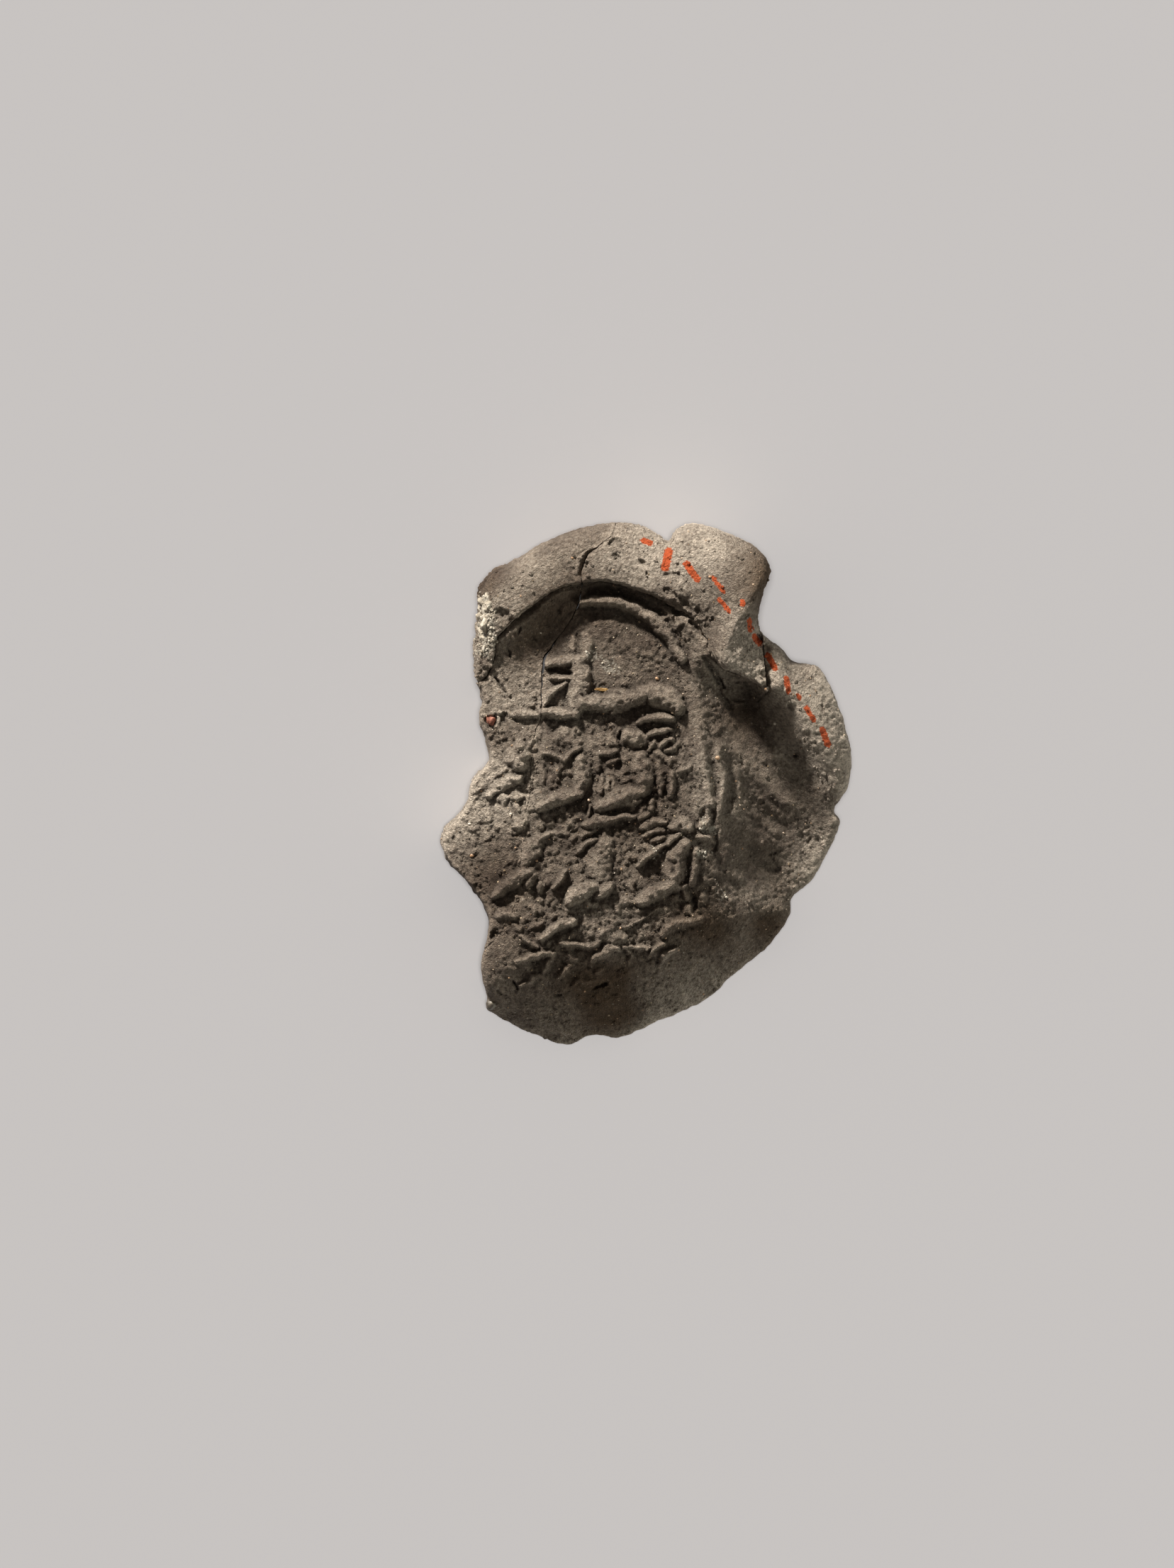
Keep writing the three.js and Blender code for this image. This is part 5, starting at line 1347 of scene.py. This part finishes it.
straw = {
    "seed": 3, "strands": 7, "longest": 3, "steps": 26, "sides": 7,
    "radius": 0.042, "wander": 0.035, "width": 0.15,
    # Where strands start and end, as shares of the length, and how far they rise from the middle in mm
    "starts": (0.0, 0.2), "ends": (0.78, 1.0), "rise": (-0.04, 0.05),
    # Shares of the solid's box that the middle runs through: across at the start, its turn, and upwards
    "across": 0.75, "acrossTurn": -0.45, "up": 0.45,
    # The waves along a strand in radians, and how much flatter and quicker they are upwards
    "wave": 9, "phase": 6, "waveUp": 0.6, "waveRate": 1.3,
    # The swollen joint of the stalk, and the blunt tips
    "knotShare": 0.5, "knotSwell": 1.1, "knotWidth": 0.05, "tipLeast": 0.04, "tipPower": 0.4,
    "tints": (0.15, 0.85),
}


def strawSliver():
    # Flattened fibres side by side, frayed at both ends and swollen at a joint of the stalk
    low, high = solidCorners("straw_sliver")
    source = np.random.RandomState(straw["seed"])
    sides, steps = straw["sides"], straw["steps"]
    turn = np.linspace(0, 2 * math.pi, sides, endpoint=False)
    points, faces, tints = [], [], []
    for strand in range(straw["strands"]):
        spread = (strand + 0.5) / straw["strands"] - 0.5
        start, end = 0, 1
        if strand != straw["longest"]:
            start, end = source.uniform(*straw["starts"]), source.uniform(*straw["ends"])
        share = np.linspace(start, end, steps)
        route = np.column_stack([share, straw["across"] + straw["acrossTurn"] * share,
                                 np.full(steps, straw["up"])])
        middle = low + (high - low) * route
        wave = share * straw["wave"] + source.uniform(0, straw["phase"])
        middle[:, 1] += spread * straw["width"] + straw["wander"] * np.sin(wave)
        middle[:, 2] += source.uniform(*straw["rise"])
        middle[:, 2] += straw["waveUp"] * straw["wander"] * np.cos(straw["waveRate"] * wave)
        fromKnot = (share - straw["knotShare"]) / straw["knotWidth"]
        knot = 1 + straw["knotSwell"] * np.exp(-fromKnot ** 2)
        tip = np.clip(4 * (share - start) * (end - share) / (end - start) ** 2, straw["tipLeast"], 1)
        radius = straw["radius"] * knot * np.sqrt(tip) ** straw["tipPower"]
        first = strand * steps * sides
        for (x, y, z), size in zip(middle, radius):
            points.append(np.column_stack([np.full(sides, x), y + size * np.cos(turn),
                                           z + size * np.sin(turn)]))
        for a in range(first, first + (steps - 1) * sides, sides):
            b = a + sides
            faces += [[a + k, a + (k + 1) % sides, b + (k + 1) % sides, b + k] for k in range(sides)]
        faces.append([first + k for k in reversed(range(sides))])
        faces.append([first + (steps - 1) * sides + k for k in range(sides)])
        tints.append(np.full(steps * sides, source.uniform(*straw["tints"])))
    points = np.clip(np.vstack(points), low, high)
    return addTint(makeMesh("straw_fibres", points, faces), np.concatenate(tints))


# Old chaff: golden brown and fibrous, with a dull shine
chaff = grainMaterial("old_chaff", ("#5F4324", "#93703F", "#B7955D"), {
    "cloud": 0.12, "spread": 0.25, "bumpHeight": 0.02, "roughness": 0.5, "specular": 0.4})

limeCrust = {
    # The stretch of the rim that it lies on, along and across, with its rows and columns
    "along": (0.03, 0.24), "across": (0.42, 0.97), "steps": (120, 90),
    # The crust's height in mm for the cover, the lumps and the grains, and its least and most
    "cover": 0.34, "coverFrom": 0.75, "lumps": 0.3, "grains": 0.5, "lowered": 0.05, "limits": (-0.25, 0.3),
    # Size in mm and seed of the lumps, and of the grains after their height
    "lumpKind": (0.8, 63), "grit": [(1, 0.55, 61), (0.6, 0.27, 62)],
    # Depth of its underside in mm, and its border: shares along and across, and its height in mm
    "depth": 0.4, "borders": (0.02, 0.06), "borderDepth": -0.15,
    # The tint between grains, and how strongly lumps and grains change it
    "tint": 0.35, "tintLumps": 0.45, "tintGrains": 1.2, "tintKind": (0.6, 64),
}


def fromEnds(value, ends, border):
    return np.minimum(value - ends[0], ends[1] - value) / border


def crustPatch():
    # A crust on the rim's shoulder: its top rises out of the clay only where the lime lies thick
    rows, columns = limeCrust["steps"]
    along, across = np.meshgrid(np.linspace(*limeCrust["along"], rows),
                                np.linspace(*limeCrust["across"], columns), indexing="ij")
    bed = rimSurface(along.ravel(), across.ravel(), np.zeros(rows * columns, bool))
    bed = bed.reshape(rows, columns, 3)
    normals = np.cross(np.gradient(bed, axis=0), np.gradient(bed, axis=1))
    normals /= np.linalg.norm(normals, axis=2, keepdims=True)
    normals *= np.sign(normals[..., 2].mean())
    points, normals = bed.reshape(-1, 3), normals.reshape(-1, 3)
    push = clayTexture(points, finishAndShadeAt(points[:, 0], points[:, 1])[:, 0]) * rimShape["texture"]
    cover = limeAt(points)
    grains = sum(height * grit(points, size, seed) for height, size, seed in limeCrust["grit"])
    thick = limeCrust["cover"] * (cover - limeCrust["coverFrom"])
    thick = thick + limeCrust["lumps"] * lumps(points, *limeCrust["lumpKind"]) * cover
    thick += limeCrust["grains"] * grains * cover - limeCrust["lowered"]
    border = np.minimum(fromEnds(along, limeCrust["along"], limeCrust["borders"][0]),
                        fromEnds(across, limeCrust["across"], limeCrust["borders"][1])).ravel()
    thick = np.where(border < 1, np.minimum(thick, limeCrust["borderDepth"]), thick)
    thick = np.clip(thick, *limeCrust["limits"])
    top = points + normals * (push + thick)[:, None]
    under = points + normals * (push - limeCrust["depth"])[:, None]
    index = np.arange(rows * columns).reshape(rows, columns)
    quads = np.stack([index[:-1, :-1], index[1:, :-1], index[1:, 1:], index[:-1, 1:]], axis=2).reshape(-1, 4)
    way = np.cross(top[quads[0, 1]] - top[quads[0, 0]], top[quads[0, 3]] - top[quads[0, 0]])
    if way @ normals[quads[0, 0]] < 0:
        quads = quads[:, ::-1]
    edge = np.concatenate([index[0], index[1:, -1], index[-1, -2::-1], index[-2:0:-1, 0]])
    following = np.roll(edge, -1)
    wall = np.column_stack([edge, following, following + len(top), edge + len(top)])
    # The wall runs against the edges that the top already uses
    used = set(map(tuple, np.vstack([quads[:, [k, (k + 1) % 4]] for k in range(4)])))
    if (int(edge[0]), int(following[0])) in used:
        wall = wall[:, ::-1]
    faces = np.vstack([quads, quads[:, ::-1] + len(top), wall])
    piece = makeMesh("lime_patch", np.vstack([top, under]), faces.tolist())
    tint = limeCrust["tint"] + limeCrust["tintLumps"] * lumps(points, *limeCrust["tintKind"])
    return addTint(piece, np.tile(tint + limeCrust["tintGrains"] * grains * cover, 2))


settle(coarseSand(), riverSand)
settle(redGrain, redGrit, "red_grain")
settle(strawSliver(), chaff, "straw_sliver")
settle(crustPatch(), limePlaster, "lime_crust")
settle(pebble, milkyQuartz, "edge_pebble")


# Loose matter strewn over the clay

grainForm = {"radius": 0.5, "subdivisions": 1, "thinnest": 0.55, "widest": 1.25, "rarity": 3.0}


def strewingTree(pieces):
    # Grains on the upper faces, thickest where the named field is high
    tree = bpy.data.node_groups.new("strewing", "GeometryNodeTree")
    names = {}
    for label, kind in (("Field", "String"), ("Per Square Metre", "Float"), ("Smallest", "Float"),
                        ("Largest", "Float"), ("Lift", "Float"), ("Seed", "Int"), ("Material", "Material")):
        socket = tree.interface.new_socket(label, in_out="INPUT", socket_type="NodeSocket" + kind)
        names[label] = socket.identifier
    tree.interface.new_socket("Grains", in_out="OUTPUT", socket_type="NodeSocketGeometry")
    given = addNode(tree, "NodeGroupInput").outputs
    ground = addNode(tree, "GeometryNodeJoinGeometry")
    for piece in pieces:
        seen = addNode(tree, "GeometryNodeObjectInfo", {"Object": piece})
        tree.links.new(seen.outputs["Geometry"], ground.inputs[0])
    field = addNode(tree, "GeometryNodeInputNamedAttribute", {"Name": given["Field"]}, data_type="FLOAT")
    dense = addNode(tree, "ShaderNodeMath", [field.outputs["Attribute"], given["Per Square Metre"]],
                    operation="MULTIPLY")
    spots = addNode(tree, "GeometryNodeDistributePointsOnFaces",
                    {"Mesh": ground.outputs[0], "Density": dense.outputs[0], "Seed": given["Seed"]})
    # Each grain's tint, chance of being large, turn and proportions. Input 8 is the node's seed.
    tint = addNode(tree, "FunctionNodeRandomValue", {8: 1}, data_type="FLOAT")
    chance = addNode(tree, "FunctionNodeRandomValue", {8: 2}, data_type="FLOAT")
    turn = addNode(tree, "FunctionNodeRandomValue", {1: (2 * math.pi,) * 3, 8: 3}, data_type="FLOAT_VECTOR")
    stretch = addNode(tree, "FunctionNodeRandomValue", {0: (grainForm["thinnest"],) * 3,
                                                        1: (grainForm["widest"],) * 3, 8: 4},
                      data_type="FLOAT_VECTOR")
    skewed = addNode(tree, "ShaderNodeMath", [chance.outputs[1], grainForm["rarity"]], operation="POWER")
    size = addNode(tree, "ShaderNodeMapRange", {0: skewed.outputs[0], 3: given["Smallest"],
                                                4: given["Largest"]}).outputs[0]
    scale = addNode(tree, "ShaderNodeVectorMath", {0: stretch.outputs[0], 3: size}, operation="SCALE")
    lift = addNode(tree, "ShaderNodeMath", [size, given["Lift"]], operation="MULTIPLY")
    lifted = addNode(tree, "ShaderNodeVectorMath", {0: spots.outputs["Normal"], 3: lift.outputs[0]},
                     operation="SCALE")
    bedded = addNode(tree, "GeometryNodeSetPosition", {"Geometry": spots.outputs["Points"],
                                                       "Offset": lifted.outputs[0]})
    marked = addNode(tree, "GeometryNodeStoreNamedAttribute",
                     {"Geometry": bedded.outputs[0], "Name": "tint", "Value": tint.outputs[1]},
                     data_type="FLOAT", domain="POINT")
    form = addNode(tree, "GeometryNodeMeshIcoSphere", {"Radius": grainForm["radius"],
                                                       "Subdivisions": grainForm["subdivisions"]})
    grains = addNode(tree, "GeometryNodeInstanceOnPoints",
                     {"Points": marked.outputs[0], "Instance": form.outputs["Mesh"],
                      "Rotation": turn.outputs[0], "Scale": scale.outputs[0]})
    real = addNode(tree, "GeometryNodeRealizeInstances", {"Geometry": grains.outputs[0]})
    clothed = addNode(tree, "GeometryNodeSetMaterial", {"Geometry": real.outputs[0],
                                                        "Material": given["Material"]})
    addNode(tree, "NodeGroupOutput", [clothed.outputs[0]])
    return tree, names


strewing, strewingNames = strewingTree(clayPieces)


def strew(name, settings):
    holder = makeObject(name, bpy.data.meshes.new(name))
    modifier = holder.modifiers.new("strewn", "NODES")
    modifier.node_group = strewing
    for label, value in settings.items():
        modifier[strewingNames[label]] = value
    mesh = bpy.data.meshes.new_from_object(holder.evaluated_get(bpy.context.evaluated_depsgraph_get()))
    holder.modifiers.remove(modifier)
    holder.data = mesh
    settle(holder)


# Name, slot and field, grains per square metre, smallest and largest in mm, lift of a grain's middle off
# the clay against its size, seed
for name, slot, field, density, smallest, largest, lift, seed, material in (
        ("loose_crumbs", "grey_clay", "sandy", 5.0e6, 0.08, 0.5, -0.15, 5, greyClay),
        ("pale_sand", "pale_grit", "sandy", 1.3e6, 0.06, 0.24, -0.1, 6, riverSand),
        ("dark_sand", "grey_clay", "sandy", 0.35e6, 0.06, 0.18, -0.1, 7, darkGrit),
        ("lime_granules", "lime", "limy", 3.0e7, 0.06, 0.36, -0.1, 8, limePlaster)):
    strew(name, {"Field": field, "Per Square Metre": density, "Smallest": smallest * mm,
                       "Largest": largest * mm, "Lift": lift, "Seed": seed, "Material": material})


# Stage, camera and lights

stage = {"floorSize": 3.0, "floorColour": "#D9D7D8", "floorRoughness": 0.95, "floorSpecular": 0.1,
         "worldColour": "#F0E6DA", "worldStrength": 0.2}
# The photograph's frame in its own pixels, and the pixel that the seal's middle lies on
photo = {"width": 1656, "height": 2212, "pixelsPerMm": 16.84, "centreX": 911, "centreY": 1106}
# Focal length in mm, distance in m to the level at which the photograph's scale holds, and its height in mm
lens = {"focal": 100.0, "distance": 0.8, "scaleHeight": 9, "clipEnd": 10}
# Raking daylight from the upper left, a weak bounce from the lower right, and the floor's own light
lights = {
    "key": {"kind": "AREA", "azimuth": 118, "elevation": 25, "power": 24.2, "colour": "#FFF8EE",
            "shape": "DISK", "size": 0.11},
    "fill": {"kind": "AREA", "azimuth": -30, "elevation": 14, "power": 3.8, "colour": "#F2F4E6",
             "shape": "DISK", "size": 0.4},
    "overhead": {"kind": "SUN", "azimuth": 0, "elevation": 90, "power": 2.06, "colour": "#FFFEFC",
                 "angle": math.radians(8)},
}


def addFloor():
    half = stage["floorSize"] / 2
    mesh = bpy.data.meshes.new("floor")
    mesh.from_pydata([(-half, -half, 0), (half, -half, 0), (half, half, 0), (-half, half, 0)], [],
                     [(0, 1, 2, 3)])
    floor = makeObject("floor", mesh)
    # Pale grey backdrop paper: matt and even
    material, tree = newMaterial("backdrop_paper")
    shader = addNode(tree, "ShaderNodeBsdfPrincipled",
                     {"Base Color": linear(stage["floorColour"]), "Roughness": stage["floorRoughness"],
                      "Specular IOR Level": stage["floorSpecular"]})
    addNode(tree, "ShaderNodeOutputMaterial", {"Surface": shader.outputs[0]})
    mesh.materials.append(material)
    return floor


def addCamera():
    camera = bpy.data.cameras.new("camera")
    camera.lens = lens["focal"]
    camera.sensor_fit = "VERTICAL"
    camera.sensor_height = camera.lens * photo["height"] / photo["pixelsPerMm"] * mm / lens["distance"]
    camera.clip_end = lens["clipEnd"]
    holder = makeObject("camera", camera)
    holder.location = ((photo["width"] / 2 - photo["centreX"]) / photo["pixelsPerMm"] * mm,
                       (photo["centreY"] - photo["height"] / 2) / photo["pixelsPerMm"] * mm,
                       lens["distance"] + lens["scaleHeight"] * mm)
    bpy.context.scene.camera = holder


def addLight(name, receivers, kind, azimuth, elevation, power, colour, **settings):
    # A light one metre from the middle that reaches only its receivers
    light = bpy.data.lights.new(name, kind)
    light.energy = power
    light.color = linear(colour)[:3]
    for key, value in settings.items():
        setattr(light, key, value)
    holder = makeObject(name, light)
    a, e = math.radians(azimuth), math.radians(elevation)
    holder.location = (math.cos(a) * math.cos(e), math.sin(a) * math.cos(e), math.sin(e))
    holder.rotation_euler = (math.pi / 2 - e, 0, a + math.pi / 2)
    holder.light_linking.receiver_collection = receivers


floor = addFloor()
addCamera()
objectLit = bpy.data.collections.new("lit_object")
floorLit = bpy.data.collections.new("lit_floor")
for piece in bpy.context.scene.objects:
    if piece.type == "MESH":
        (floorLit if piece == floor else objectLit).objects.link(piece)
for name, settings in lights.items():
    addLight(name, floorLit if name == "overhead" else objectLit, **settings)

world = bpy.data.worlds.new("studio")
world.use_nodes = True
background = world.node_tree.nodes["Background"].inputs
background["Color"].default_value = linear(stage["worldColour"])
background["Strength"].default_value = stage["worldStrength"]
bpy.context.scene.world = world
bpy.context.scene.view_settings.view_transform = "Standard"
